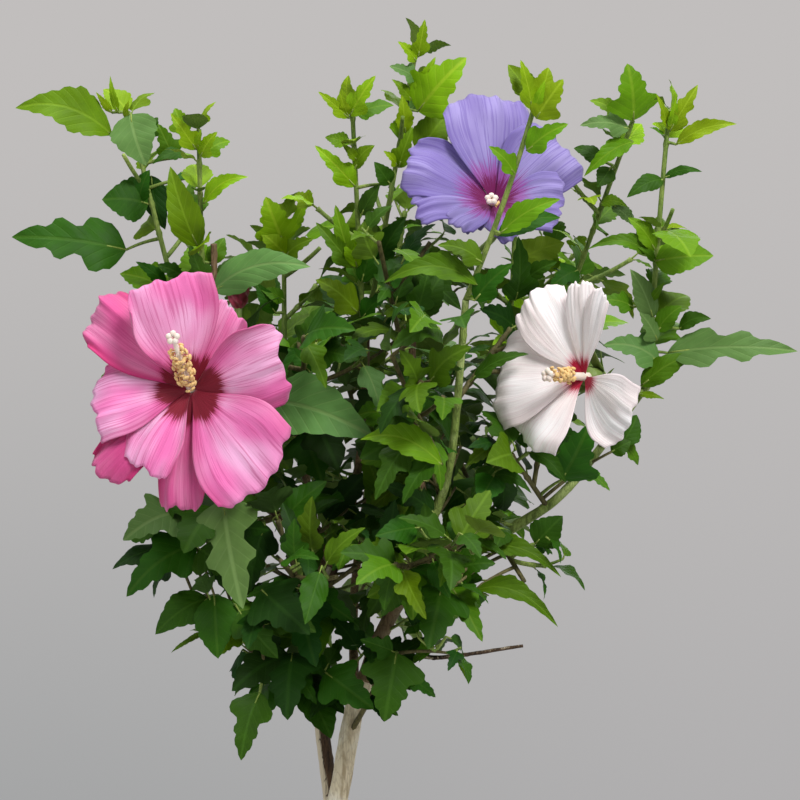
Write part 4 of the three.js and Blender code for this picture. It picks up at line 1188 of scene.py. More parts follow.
def plan_leaf(name, root, tip, wide, roll, front):
    """Where a leaf lies and the room it takes. It faces up, outward and by so much to the front."""
    along = tip - root
    long = math.sqrt(along @ along)
    along = along / long
    outward = unit(np.array([root[0] - CROWN[0], root[1] - CROWN[1], 0]))
    normal = np.array([0, -front, 1.0]) + outward * LEAF["outward"]
    normal = about(along, unit(normal - along * (normal @ along)), roll)
    side = np.cross(along, normal)

    def spot(u, v, lift):
        return root + along * u * long + side * v * wide + normal * lift * long
    rim = LEAF["arch"] + LEAF["fold"]
    left, right = spot(LEAF["widest"], -0.5, rim), spot(LEAF["widest"], 0.5, rim)
    middle, skin = spot(LEAF["widest"], 0, LEAF["arch"]), LEAF["thick"] * long / 2
    return {"name": name, "root": root, "tip": tip, "along": along, "side": side, "normal": normal,
            "long": long, "wide": wide, "middle": middle,
            "whole": convex(name, [root, left, tip, right, middle], skin),
            "free": convex(name, [spot(0.2, 0, 0), left, tip, right, middle], skin)}


leaves, twigs = [], []


def keep(leaf, **facts):
    leaf.update(facts)
    leaves.append(leaf)
    take(leaf["whole"])


def plan_twig(name, root, way, long, radius):
    """A twig that lifts a little toward its tip, and the room it takes."""
    bend, tip = root + way * long / 2, root + way * long + np.array([0, 0, long * TWIG["lift"]])
    curve = bezier(root, bend, tip)
    parts = along_curve(name, curve, lambda t: mix(*radius, t), 2)
    return {"name": name, "curve": curve, "length": curve_length(curve), "parts": parts, "radius": radius,
            "nodes": [], "ends": (root, tip)}


def keep_twig(twig):
    twigs.append(twig)
    take(*twig["parts"])


# The leaves that show best have places of their own, and the others grow round them. Each is [how far
# up the stem of its shoot it springs, its foot, its tip, its width, shape, tone, and for an arched leaf
# the height of the arch as a share of its length].
PLACED_FRONT = 2.4
PLACED = {
    "shoot_left_outer": [
        [0.93, [-105, 6, 551], [-147, -4, 565], 22, "narrow", "fresh", 0.1],
        [1.00, [-102, 7, 561], [-106, 1, 577], 4, "narrow", "bright"],
        [1.00, [-105, 7, 561], [-112, 1, 570], 4, "narrow", "bright"],
        [0.97, [-98, 7, 558], [-97, 1, 566], 4, "narrow", "bright"],
        [0.99, [-96, 4, 560], [-90, -10, 536], 23, "oval", "pale"],
        [0.89, [-89, 5, 550], [-84, 5, 559], 12, "lobed", "deep"],
        [0.78, [-76, 6, 540], [-83, 6, 556], 13, "lobed", "green"],
        [0.78, [-70, 3, 541], [-86, -3, 538], 7, "narrow", "deep", 0.12],
        [0.68, [-67, 2, 531], [-76, -4, 530], 5, "oval", "deep", 0.1],
        [0.72, [-87, 7, 532], [-82, 5, 507], 13, "oval", "shade"],
        [0.62, [-88, 1, 519], [-108, -5, 523], 23, "oval", "deep"],
        [0.47, [-98, -3, 498], [-149, -13, 503], 28, "cut", "deep"],
        [0.00, [-102, -2, 439], [-111, -2, 435], 11, "oval", "green"],
        [0.27, [-68, -6, 483], [-83, -12, 491], 13, "lobed", "deep", 0.05],
        [0.29, [-79, -6, 482], [-93, -12, 492], 7, "narrow", "deep", 0.05],
        [0.65, [-92, 1, 521], [-87, -5, 534], 11, "oval", "deep"],
    ],
    "shoot_left_inner": [
        [0.93, [-63, -47, 543], [-73, -53, 559], 10, "lobed", "bright"],
        [0.98, [-68, -41, 550], [-73, -37, 562], 12, "lobed", "fresh"],
        [0.91, [-61, -46, 540], [-54, -52, 551], 11, "lobed", "bright"],
        [0.91, [-60, -41, 541], [-48, -37, 547], 12, "lobed", "fresh", 0.05],
        [0.94, [-62, -47, 544], [-61, -53, 552], 4, "narrow", "bright"],
        [0.73, [-60, -43, 519], [-41, -49, 532], 9, "narrow", "bright", 0.1],
        [0.58, [-63, -38, 500], [-77, -48, 534], 16, "oval", "fresh"],
        [0.44, [-60, -33, 483], [-66, -33, 501], 11, "lobed", "deep"],
        [0.39, [-56, -36, 480], [-14, -50, 494], 19, "oval", "pale", 0.08],
        [0.52, [-57, -31, 492], [-52, -27, 504], 10, "oval", "green"],
        [0.43, [-56, -28, 482], [-50, -24, 495], 8, "lobed", "deep"],
    ],
    "shoot_pale": [
        [0.89, [-27, 37, 501], [-35, 31, 522], 23, "lobed", "bright"],
        [0.94, [-23, 37, 506], [-13, 31, 524], 7, "narrow", "bright"],
        [0.80, [-26, 38, 495], [-37, 32, 506], 16, "lobed", "bright"],
        [0.80, [-26, 38, 495], [-14, 32, 504], 13, "lobed", "fresh"],
        [0.43, [-31, 39, 468], [-40, 33, 482], 9, "oval", "deep"],
        [0.52, [-27, 39, 474], [-37, 33, 479], 8, "oval", "green"],
    ],
    "shoot_tall_left": [
        [0.99, [4, -15, 558], [-9, -21, 570], 8, "lobed", "bright"],
        [0.99, [4, -15, 559], [1, -21, 568], 5, "narrow", "bright"],
        [0.99, [5, -15, 559], [17, -21, 576], 13, "lobed", "bright"],
        [0.72, [7, -5, 527], [-10, -11, 546], 12, "lobed", "bright"],
        [0.80, [7, -8, 535], [15, -14, 546], 8, "oval", "fresh", 0.1],
        [0.83, [8, -9, 539], [1, -15, 546], 5, "narrow", "fresh"],
        [0.72, [23, -5, 528], [16, -11, 538], 9, "oval", "deep"],
        [0.61, [10, -1, 514], [19, -7, 528], 9, "oval", "deep"],
        [0.42, [6, 6, 490], [-10, 0, 511], 12, "lobed", "green"],
        [0.43, [6, 5, 492], [-3, -1, 518], 13, "lobed", "fresh"],
        [0.42, [8, 6, 490], [4, 0, 507], 8, "oval", "bright"],
        [0.35, [10, 8, 483], [19, 2, 506], 13, "lobed", "deep"],
        [0.24, [8, 12, 469], [-12, 6, 483], 16, "lobed", "fresh", 0.08],
        [0.22, [10, 13, 466], [24, 7, 479], 11, "lobed", "deep", 0.05],
    ],
    "shoot_tall_mid": [
        [0.98, [36, 17, 587], [38, 11, 604], 9, "lobed", "bright"],
        [0.96, [35, 17, 585], [27, 11, 594], 9, "lobed", "bright"],
        [0.91, [35, 17, 577], [23, 11, 583], 11, "lobed", "pale"],
        [0.79, [36, 18, 562], [58, 8, 585], 29, "lobed", "bright"],
        [0.84, [36, 18, 569], [43, 12, 587], 8, "narrow", "bright"],
        [0.66, [36, 25, 543], [52, 27, 563], 18, "oval", "fresh"],
        [0.71, [30, 18, 552], [28, 12, 569], 9, "narrow", "bright"],
        [0.58, [27, 19, 536], [34, 13, 554], 11, "lobed", "fresh"],
        [0.59, [26, 19, 537], [21, 13, 544], 7, "lobed", "bright"],
        [0.83, [33, 18, 567], [24, 12, 576], 7, "narrow", "fresh"],
        [0.25, [18, 20, 492], [29, 14, 513], 13, "oval", "deep"],
    ],
    "shoot_front": [
        [0.96, [85, -78, 560], [80, -84, 581], 10, "lobed", "bright"],
        [0.92, [87, -77, 556], [98, -83, 573], 17, "lobed", "bright"],
        [0.95, [86, -78, 560], [91, -84, 572], 5, "narrow", "bright"],
        [0.77, [83, -72, 542], [101, -78, 553], 13, "lobed", "fresh", 0.05],
        [0.64, [78, -68, 532], [66, -74, 543], 10, "lobed", "fresh", 0.06],
        [0.35, [72, -59, 506], [98, -65, 521], 12, "narrow", "fresh", 0.06],
        [0.34, [71, -51, 505], [99, -45, 515], 11, "oval", "deep", 0.04],
        [0.20, [64, -53, 493], [45, -59, 501], 13, "lobed", "green", 0.08],
        [0.09, [62, -49, 483], [21, -55, 487], 13, "narrow", "green", 0.14],
        [0.01, [61, -46, 476], [77, -52, 493], 14, "lobed", "deep", 0.05],
    ],
    "shoot_between": [
        [0.69, [82, 45, 474], [84, 25, 502], 18, "lobed", "deep"],
        [0.55, [82, 47, 460], [65, 27, 472], 20, "lobed", "shade"],
        [0.73, [84, 49, 479], [101, 33, 492], 16, "lobed", "deep", 0.05],
    ],
    "shoot_right_inner": [
        [1.00, [136, 23, 558], [133, 17, 584], 26, "lobed", "fresh"],
        [1.00, [133, 30, 559], [117, 32, 569], 13, "lobed", "fresh"],
        [0.97, [134, 25, 554], [111, 19, 556], 13, "lobed", "pale", 0.05],
        [0.93, [136, 27, 548], [113, 21, 532], 10, "narrow", "fresh", 0.08],
        [0.83, [123, 39, 539], [109, 43, 545], 9, "oval", "deep", 0.05],
        [0.83, [126, 32, 536], [120, 26, 527], 10, "oval", "deep"],
        [0.69, [122, 40, 519], [134, 34, 519], 7, "narrow", "fresh", 0.1],
        [0.71, [127, 39, 519], [139, 33, 508], 8, "narrow", "pale"],
        [0.45, [112, 53, 488], [98, 47, 479], 13, "lobed", "deep", 0.05],
    ],
    "shoot_right_outer": [
        [0.92, [150, -14, 552], [161, -20, 573], 11, "cut", "bright"],
        [0.94, [149, -14, 553], [143, -20, 568], 5, "narrow", "bright"],
        [0.94, [150, -14, 553], [153, -20, 567], 5, "narrow", "bright"],
        [0.88, [153, -14, 546], [180, -20, 555], 9, "narrow", "bright", 0.07],
        [0.76, [148, -13, 531], [164, -19, 534], 5, "oval", "deep", 0.08],
        [0.74, [147, -13, 530], [131, -19, 521], 9, "oval", "deep", 0.1],
        [0.49, [144, -11, 498], [131, -17, 512], 10, "oval", "fresh", 0.06],
        [0.47, [144, -11, 494], [113, -17, 500], 8, "narrow", "green", 0.14],
        [0.46, [144, -11, 493], [170, -17, 495], 18, "oval", "fresh"],
        [0.45, [144, -11, 493], [136, -17, 499], 5, "oval", "green"],
        [0.24, [143, -9, 467], [133, -15, 489], 13, "oval", "pale"],
        [0.29, [134, -10, 472], [118, -16, 476], 11, "lobed", "green", 0.05],
        [0.09, [146, -8, 447], [121, -14, 456], 18, "lobed", "pale", 0.08],
        [0.17, [145, -9, 457], [137, -15, 470], 13, "lobed", "pale"],
        [0.20, [145, -9, 461], [156, -15, 472], 10, "oval", "green", 0.1],
        [0.21, [155, -9, 462], [169, -15, 467], 8, "oval", "deep", 0.12],
        [0.12, [150, -9, 451], [208, -19, 453], 20, "cut", "pale"],
        [0.00, [138, -8, 436], [160, -14, 452], 12, "oval", "green", 0.05],
        [0.00, [137, -8, 432], [148, -14, 431], 4, "narrow", "fresh"],
        [0.31, [142, -10, 475], [148, -16, 483], 4, "oval", "green"],
    ],
    "leaves_mid_right": [
        [0.21, [101, -24, 394], [111, -40, 419], 28, "lobed", "deep"],
        [0.14, [124, -14, 406], [133, -14, 411], 9, "oval", "deep"],
        [0.87, [86, -32, 407], [103, -38, 394], 9, "oval", "deep", 0.1],
        [0.90, [69, -33, 396], [87, -39, 390], 8, "narrow", "deep", 0.14],
    ],
    "leaves_low_right": [
        [0.04, [63, -20, 361], [101, -28, 352], 10, "narrow", "green", 0.14],
        [0.67, [61, -30, 344], [99, -36, 329], 11, "narrow", "green", 0.16],
        [0.49, [89, -24, 365], [101, -28, 378], 16, "oval", "deep"],
        [0.15, [53, -26, 353], [70, -34, 357], 16, "lobed", "deep", 0.05],
        [0.26, [46, -40, 346], [40, -70, 324], 30, "lobed", "deep"],
        [0.38, [51, -36, 346], [63, -56, 325], 17, "lobed", "green"],
    ],
    "leaves_low_centre": [
        [1.00, [26, -56, 319], [21, -66, 290], 29, "lobed", "deep"],
        [0.46, [-6, -38, 308], [15, -52, 293], 25, "lobed", "deep"],
        [1.00, [53, -70, 320], [57, -70, 309], 3, "narrow", "fresh"],
    ],
    "leaves_low_left": [
        [0.52, [-22, -30, 314], [-48, -50, 302], 30, "lobed", "shade", 0.05],
        [0.47, [-21, -32, 316], [-22, -56, 291], 30, "lobed", "shade"],
        [0.99, [-35, -54, 301], [-45, -64, 273], 20, "lobed", "deep"],
        [1.00, [-34, -54, 347], [-14, -76, 330], 30, "lobed", "shade"],
    ],
    "leaves_left_low": [
        [0.81, [-72, -35, 380], [-95, -49, 369], 26, "lobed", "pale", 0.05],
        [0.80, [-65, -33, 365], [-96, -41, 344], 26, "lobed", "deep", 0.06],
        [0.50, [-56, -35, 382], [-69, -57, 364], 33, "lobed", "deep"],
        [0.40, [-52, -38, 386], [-41, -68, 341], 31, "cut", "pale"],
        [0.85, [-59, -34, 341], [-82, -40, 325], 18, "oval", "deep", 0.06],
        [1.00, [-60, -32, 326], [-76, -32, 316], 3, "narrow", "green"],
        [0.78, [-56, -39, 343], [-52, -49, 316], 21, "oval", "deep"],
        [0.66, [-44, -39, 326], [-55, -43, 317], 11, "lobed", "fresh"],
        [0.93, [-78, -36, 382], [-67, -42, 384], 14, "lobed", "deep"],
        [0.14, [-34, -17, 373], [-40, -23, 343], 19, "lobed", "shade"],
    ],
    "leaves_centre_left": [
        [0.46, [-34, -30, 430], [15, -54, 414], 30, "oval", "pale", 0.05],
        [0.71, [-13, -28, 443], [-23, -28, 454], 13, "lobed", "deep", 0.05],
    ],
    "leaves_centre": [
        [0.58, [46, -80, 405], [11, -76, 418], 15, "narrow", "fresh", 0.12],
        [0.73, [41, -69, 441], [58, -89, 455], 18, "lobed", "green", 0.08],
        [1.00, [45, -74, 464], [25, -94, 455], 18, "lobed", "deep", 0.08],
    ],
}


def place_leaf(name, at, foot, tip, wide, shape, tone, bow=0):
    """A leaf with a look of its own, on a thin twig where it stands off its stem."""
    start, foot = stem_of[name]["curve"](at), np.array(foot, float)
    reach = foot - start
    spare = math.sqrt(reach @ reach)
    if spare > TWIG["shortest"]:
        twig = plan_twig(name, start, unit(reach), spare, [0.9, 0.6])
        twig["curve"] = bezier(start, start + reach / 2 + np.array([0, 0, spare * 0.08]), foot)
        keep_twig(twig)
    leaf = plan_leaf(name, foot, np.array(tip, float), wide, 0, PLACED_FRONT)
    keep(leaf, height=at, look=(shape, tone), bow=bow)


for name, rows in PLACED.items():
    for row in rows:
        place_leaf(name, *row)

# Clearings are views through the crown from the front, and windows show the wood behind the front
# leaves. Each is the x and z of its middle and its radius.
CLEARINGS = [[-27, 367, 3], [5, 346, 7], [-26, 353, 4], [23, 447, 8], [-22, 475, 6], [-24, 462, 5],
             [14, 530, 6], [-14, 528, 6], [-7, 496, 4], [-14, 491, 4], [45, 463, 10], [-57, 537, 3],
             [-57, 514, 4], [-50, 504, 3], [-74, 505, 4], [-76, 498, 3], [-101, 537, 3], [108, 509, 7],
             [120, 491, 8], [129, 526, 4], [138, 510, 3], [124, 521, 4], [162, 528, 7], [153, 482, 3],
             [94, 392, 6], [128, 397, 6], [80, 352, 8], [83, 342, 5], [71, 335, 4], [69, 358, 3],
             [34, 287, 5], [48, 304, 7], [-25, 281, 7], [-54, 305, 5], [-72, 343, 6], [-81, 333, 4],
             [3, 313, 3], [150, 390, 14], [101, 337, 7], [86, 344, 5], [-128, 470, 12], [-120, 340, 12],
             [5, 540, 4], [-88, 575, 3], [176, 440, 6], [122, 380, 6], [0, 555, 5], [14, 551, 4],
             [28, 528, 4], [22, 508, 4], [24, 275, 7], [-86, 316, 8], [84, 560, 6], [-98, 386, 9],
             [170, 514, 8], [2, 524, 5], [-33, 527, 6], [-52, 557, 4], [-56, 292, 5], [-94, 498, 6],
             [-5, 431, 4], [82, 388, 5], [112, 357, 8], [149, 521, 7], [151, 537, 5], [124, 486, 6],
             [-97, 338, 9], [-68, 310, 7], [-88, 388, 6], [-4, 517, 5], [164, 570, 4]]
WINDOWS = [[-44, 474, 5], [5, 280, 8], [9, 293, 6], [2, 440, 8], [8, 307, 7], [24, 331, 6], [-4, 348, 7],
           [62, 362, 6], [104, 396, 6], [114, 405, 6], [88, 380, 6], [51, 383, 5], [53, 401, 5],
           [54, 420, 5], [56, 438, 5], [57, 457, 5]]
WINDOW_DEPTH = -8
FRONT = {"distance": 1600, "middle": [27.6, 429], "slope": 0.052}


def seen(points):
    """Where points show from the front of the shrub, on the plane of its middle, as x and z."""
    depth = FRONT["distance"] / (FRONT["distance"] + points[..., 1])
    x, z = FRONT["middle"]
    return np.stack([x + (points[..., 0] - x) * depth,
                     z + (points[..., 2] - z) * depth - points[..., 1] * FRONT["slope"]], axis=-1)


def stands_in(leaf, circles):
    """Whether a leaf would stand in one of the circles, as seen from the front of the shrub."""
    rings = np.array(circles, float)
    foot = seen(leaf["root"])
    run = seen(leaf["tip"]) - foot
    share = np.clip((rings[:, :2] - foot) @ run / max(run @ run, 1e-6), 0.15, 0.9)
    gap = np.linalg.norm(rings[:, :2] - foot - run * share[:, None], axis=1)
    return bool((gap < rings[:, 2] * 0.8 + leaf["wide"] * 0.25).any())


placed_feet = seen(np.array([leaf["root"] for leaf in leaves]))
placed_run = seen(np.array([leaf["tip"] for leaf in leaves])) - placed_feet
placed_wide = np.array([leaf["wide"] for leaf in leaves])
placed_depth = np.array([leaf["middle"][1] for leaf in leaves])

# How far each open flower reaches round its middle, and the room in front of it that stays clear.
FLOWER_REACH = {"bloom_pink": 44, "bloom_violet": 38, "bloom_white": 30}
FLOWER_ROOM = 8
flowers = np.array([BLOOMS[name]["middle"] for name in FLOWER_REACH])


def hides_bloom(leaf):
    """Whether a leaf would stand in front of an open flower."""
    gap = np.linalg.norm(seen(leaf["middle"]) - seen(flowers), axis=1) - list(FLOWER_REACH.values())
    return bool(((gap < 0) & (leaf["middle"][1] < flowers[:, 1] + FLOWER_ROOM)).any())


def hides_placed(leaf):
    """Whether the middle of a leaf would stand in front of a placed one."""
    off = seen(leaf["middle"]) - placed_feet
    share = np.clip((off * placed_run).sum(axis=1) / (placed_run ** 2).sum(axis=1), 0.1, 0.9)
    gap = np.linalg.norm(off - placed_run * share[:, None], axis=1)
    return bool(((gap < placed_wide * 0.45) & (leaf["middle"][1] < placed_depth + 3)).any())


def in_view(leaf):
    """Whether a leaf leaves the clearings, the flowers and the placed leaves open to view."""
    in_front = leaf["middle"][1] < WINDOW_DEPTH
    return not (stands_in(leaf, CLEARINGS) or hides_bloom(leaf) or hides_placed(leaf)
                or (in_front and stands_in(leaf, WINDOWS)))


def grow(name, shoot, seed):
    """Gives a shoot its side twigs, and then its stem and twigs their leaves."""
    rand, stem = stream(seed), stem_of[name]
    stem.update(name=name, nodes=[])
    twigs.append(stem)
    bearing = [stem]
    for i in range(shoot["twigs"]):
        at = mix(TWIG["from"], TWIG["to"], (i + 0.5) / shoot["twigs"])
        root, run = foothold(stem["curve"], at)
        for attempt in range(TWIG["tries"]):
            turn = math.radians(GOLDEN * (i * 3 + attempt) + 360 * next(rand))
            across = np.array([math.cos(turn), math.sin(turn), 0.25])
            across = unit(across - run * (across @ run))
            way = unit(across + run * TWIG["forward"])
            twig = plan_twig(name, root, way, shoot["reach"] * mix(*TWIG["vary"], next(rand)), TWIG["side"])
            if in_own_space(name, twig["curve"](1)) and fits(twig["parts"][1], twig["parts"]):
                twig["foot"] = 0.4
                bearing.append(twig)
                keep_twig(twig)
                break

    for twig in bearing:
        count = math.floor(twig["length"] * (1 - twig["foot"]) / shoot["spacing"] + 0.5)
        for i in range(count + 1):
            t = mix(twig["foot"], 0.985, i / max(count, 1))
            root, run = foothold(twig["curve"], t)
            low, high = stem["ends"][0][2], stem["ends"][1][2]
            height = min(max((root[2] - low) / (high - low), 0), 1)
            for attempt in range(TWIG["tries"]):
                turn = math.radians(GOLDEN * (i + attempt) + 40 * next(rand))
                across = about(run, unit(np.array([-run[1], run[0], 0])), turn)
                lean = LEAF["tip_lean"] if i == count else mix(*LEAF["lean"], next(rand))
                way = unit(run + across * lean + np.array([0, 0, -shoot["hang"]]))
                shorter = LEAF["small"] if attempt > TWIG["tries"] / 2 else 1
                long = mix(*shoot["leaf"], height) * mix(*LEAF["vary"], next(rand)) * shorter
                wide = long * mix(*LEAF["wide"], next(rand))
                leaf = plan_leaf(name, root, root + way * long, wide,
                                 math.radians(mix(-LEAF["roll"], LEAF["roll"], next(rand))), LEAF["front"])
                if (in_own_space(name, leaf["middle"]) and in_view(leaf)
                        and fits(leaf["free"], [leaf["whole"]])):
                    keep(leaf, height=height)
                    twig["nodes"].append(t)
                    break


for number, (name, shoot) in enumerate(SHOOTS.items()):
    grow(name, shoot, 101 + number * 17)

# Finer sprigs fill each mass: short twigs and smaller leaves that spring from its stem and twigs,
# inside the mass's own box.
SPRIGS = {"spacing": 3.2, "size": [0.55, 0.9], "tries": 8, "air": 0.15, "reach": [7, 18], "seed": 900,
          "edge": -5, "bare": 3, "axil": [0.3, 0.6]}

# Spurs of the inner wood: short twigs straight off a limb, that close the heart of the crown. Each is
# [limb, from and to along it, how many, their reach, the length of their leaves].
SPURS = [["bough_mid", 0.15, 0.9, 9, 24, 34], ["bough_left_up", 0.2, 0.95, 8, 22, 32],
         ["bough_left", 0.12, 0.7, 8, 22, 32], ["stem_dark", 0.72, 1.0, 9, 26, 36],
         ["bough_centre", 0.15, 0.6, 8, 24, 32], ["bough_up", 0.25, 0.95, 8, 22, 32],
         ["bough_right_low", 0.25, 1.0, 7, 22, 30], ["bough_back", 0.3, 0.95, 7, 24, 34],
         ["bough_back_right", 0.2, 0.9, 7, 22, 32], ["bough_right_arch", 0.1, 0.35, 3, 16, 26]]


def is_young(name):
    """Whether a shoot is one of the slim young ones in front."""
    return name.startswith("shoot") and "back" not in name


def within(point, room):
    low, high = room
    return bool((point >= low + SPRIGS["edge"]).all() and (point <= high - SPRIGS["edge"]).all())


def sprig_leaf(name, place, size, hang, rand, room):
    """A small leaf from a point of a twig, where one finds room. Returns whether it did."""
    root, run = place
    for _ in range(SPRIGS["tries"]):
        across = about(run, unit(np.cross(run, [0.3, 0.2, 1])), rand.uniform(0, 2 * math.pi))
        way = unit(run * rand.uniform(0.2, 0.9) + across * rand.uniform(0.5, 1.3) + np.array([0, 0, -hang]))
        long = size * rand.uniform(0.85, 1.15)
        leaf = plan_leaf(name, root, root + way * long, long * rand.uniform(0.42, 0.72),
                         math.radians(rand.uniform(-35, 35)), rand.uniform(0, 0.9))
        if (within(leaf["tip"], room) and in_view(leaf)
                and fits(leaf["free"], [leaf["whole"]], SPRIGS["air"], SPRIGS["air"])):
            keep(leaf, height=0.5)
            return True
    return False


def sprig(name, root, way, reach, size, hang, rand, room):
    """A short twig with up to three leaves, kept where it and one of them find room."""
    branch = plan_twig(name, root, way, reach, [0.8, 0.6])
    free = within(branch["ends"][1], room)
    if not free or not fits(branch["parts"][1], branch["parts"][1:], SPRIGS["air"], SPRIGS["air"]):
        return False
    grown = [sprig_leaf(name, foothold(branch["curve"], t), size, hang, rand, room) for t in (1, 0.75, 0.5)]
    if any(grown):
        keep_twig(branch)
    return any(grown)


for number, (name, shoot) in enumerate(SHOOTS.items()):
    rand = np.random.default_rng(SPRIGS["seed"] + number)
    low, high = room = [np.array(corner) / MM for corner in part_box(name)]
    young = is_young(name)
    for twig in [t for t in twigs if t["name"] == name]:
        if young:
            for t in list(twig["nodes"]):
                size = shoot["leaf"][0] * rand.uniform(*SPRIGS["axil"])
                sprig_leaf(name, foothold(twig["curve"], t), size, 0, rand, room)
            continue
        count = int(twig["length"] / SPRIGS["spacing"])
        for i in range(count):
            t = mix(max(twig.get("foot", 0.5), 0.2), 1, (i + rand.uniform(0, 1)) / count)
            root, run = foothold(twig["curve"], t)
            height = min(max((root[2] - low[2]) / (high[2] - low[2]), 0), 1)
            size = mix(*shoot["leaf"], height) * rand.uniform(*SPRIGS["size"])
            if rand.uniform() < 0.5:
                turn = rand.uniform(0, 2 * math.pi)
                way = sideways(turn, 0.3, run, 0.5)
                sprig(name, root, way, rand.uniform(*SPRIGS["reach"]), size, shoot["hang"], rand, room)
            elif sprig_leaf(name, (root, run), size, shoot["hang"], rand, room):
                twig["nodes"].append(t)

room = [np.array(corner) / MM + inset for corner, inset in zip(cad_box, (6, -6))]
for number, (limb, start, end, count, reach, size) in enumerate(SPURS):
    rand = np.random.default_rng(SPRIGS["seed"] * 2 + number)
    for i in range(count):
        t = mix(start, end, (i + rand.uniform(0.2, 0.8)) / count)
        root, run = foothold(limbs[limb]["curve"], t)
        for attempt in range(5):
            turn = math.radians(GOLDEN * (i + attempt)) + rand.uniform(-0.4, 0.4)
            way = sideways(turn, rand.uniform(-0.3, 0.6), run, 0.4)
            long = reach * rand.uniform(0.6, 1.2)
            if sprig("spur_" + limb, root, way, long, size * rand.uniform(0.75, 1.1), 0.4, rand, room):
                break

# A side twig that no leaf grows at the tip of is left out.
feet = np.array([leaf["root"] for leaf in leaves])
twigs = [twig for twig in twigs
         if "foot" in twig or np.linalg.norm(feet - twig["curve"](1), axis=1).min() < SPRIGS["bare"]]

# ---------------------------------------------------------------------------- leaves
# Soft green leaves, most of them three-lobed and coarsely toothed, narrower toward the tips of the
# shoots. Each is a thin blade folded a little along its midrib, with a paler underside. They are
# dealt out in sprays of six greens: the young ones are bright, partly their own fresh green and
# partly painted light, and the low and inner ones deep, partly painted shade.
LEAF_SHAPES = {
    "lobed": [(0, .05), (.03, .26), (.09, .52), (.16, .66), (.19, .80), (.26, .97), (.35, 1.0), (.41, .90),
              (.43, .74), (.46, .56), (.53, .50), (.59, .58), (.66, .54), (.69, .40), (.76, .42),
              (.83, .36), (.87, .22), (.94, .16), (.99, .03)],
    "oval": [(0, .05), (.03, .26), (.08, .52), (.15, .74), (.21, .82), (.25, .92), (.33, 1.0), (.38, .93),
             (.45, .97), (.51, .90), (.54, .80), (.61, .80), (.67, .70), (.70, .60), (.77, .55), (.83, .40),
             (.88, .32), (.94, .18), (.99, .03)],
    "narrow": [(0, .05), (.04, .24), (.10, .50), (.16, .64), (.20, .80), (.27, .92), (.31, .84), (.36, .98),
               (.43, 1.0), (.47, .82), (.53, .86), (.58, .80), (.62, .62), (.69, .62), (.74, .48),
               (.81, .44), (.86, .28), (.93, .18), (.99, .03)],
    "cut": [(0, .05), (.03, .26), (.08, .55), (.14, .80), (.20, .86), (.26, 1.0), (.33, .96), (.37, .74),
            (.40, .52), (.46, .46), (.52, .58), (.58, .74), (.64, .70), (.67, .50), (.72, .38), (.79, .42),
            (.86, .32), (.93, .18), (.99, .03)],
}
LEAF_RIM_AHEAD = 0.05
# Each tone is a green of its own, and the lighter and darker tones also serve as painted light and painted
# shade.
LEAF_TONES = {
    "bright": {"upper": (120, 156, 0), "vein": (158, 186, 40), "under": (138, 164, 50),
               "slot": "leaves_young"},
    "fresh": {"upper": (94, 132, 0), "vein": (128, 162, 34), "under": (124, 152, 56), "slot": "leaves_young"},
    "green": {"upper": (72, 110, 2), "vein": (104, 138, 32), "under": (108, 134, 58), "slot": "leaves_young"},
    "deep": {"upper": (42, 84, 0), "vein": (66, 106, 24), "under": (86, 116, 50), "slot": "leaves_old"},
    "shade": {"upper": (24, 60, 2), "vein": (44, 82, 18), "under": (68, 96, 42), "slot": "leaves_old"},
    "pale": {"upper": (88, 124, 60), "vein": (122, 150, 86), "under": (118, 146, 84), "slot": "leaves_old"},
}
LEAF_LOOK = {"full_size": 46, "petiole": 0.14, "seed": 77, "droop": [0.0, 0.12], "ripple": 0.035,
             "lobe_droop": 0.10, "pale_share": 0.02}


def leaf_template(shape):
    """A leaf's points as [along, across from -1 to 1], five to a row, and its quads."""
    rim = np.array(shape)
    mid = rim[:, 0] - LEAF_RIM_AHEAD * np.sin(np.clip(rim[:, 0], 0, 1) * math.pi)
    mid[-1] = 1
    inner = np.stack([(rim[:, 0] + mid) / 2, rim[:, 1] / 2], axis=1)
    flip = np.array([1, -1])
    rows = np.stack([rim * flip, inner * flip, np.stack([mid, mid * 0], axis=1), inner, rim], axis=1)
    quads = [[k, k + 1, k + 6, k + 5] for k in (r * 5 + c for r in range(len(mid) - 1) for c in range(4))]
    return rows.reshape(-1, 2), np.array(quads)


def leaf_points(leaf, template, rand):
    """Where a leaf's points lie: arched along, folded up at the midrib, its lobes a little limp."""
    u, v = template[:, 0], template[:, 1]
    start = 0 if "look" in leaf else LEAF_LOOK["petiole"]
    far = start + (1 - start) * u
    long, half = leaf["long"], leaf["wide"] / 2
    lift = LEAF["arch"] * 4 * far * (1 - far) + LEAF["fold"] * 1.6 * np.abs(v) * (1 - 0.5 * np.abs(v))
    lift = lift - rand.uniform(*LEAF_LOOK["droop"]) * far ** 3
    phase = u * rand.uniform(8, 15) + rand.uniform(0, 6) + np.sign(v) * 1.3
    lift += LEAF_LOOK["ripple"] * np.abs(v) * np.sin(phase)
    lift -= LEAF_LOOK["lobe_droop"] * rand.uniform(-0.4, 1) * np.abs(v) ** 2
    bend = rand.uniform(-0.07, 0.07) * far ** 2
    bow = leaf.get("bow", 0) * 4 * far * (1 - far) * long
    return leaf["root"] + np.outer(far * long, leaf["along"]) \
        + np.outer(v * half + bend * long, leaf["side"]) + np.outer(lift * long, leaf["normal"]) \
        + np.outer(bow, [0, 0, 1])


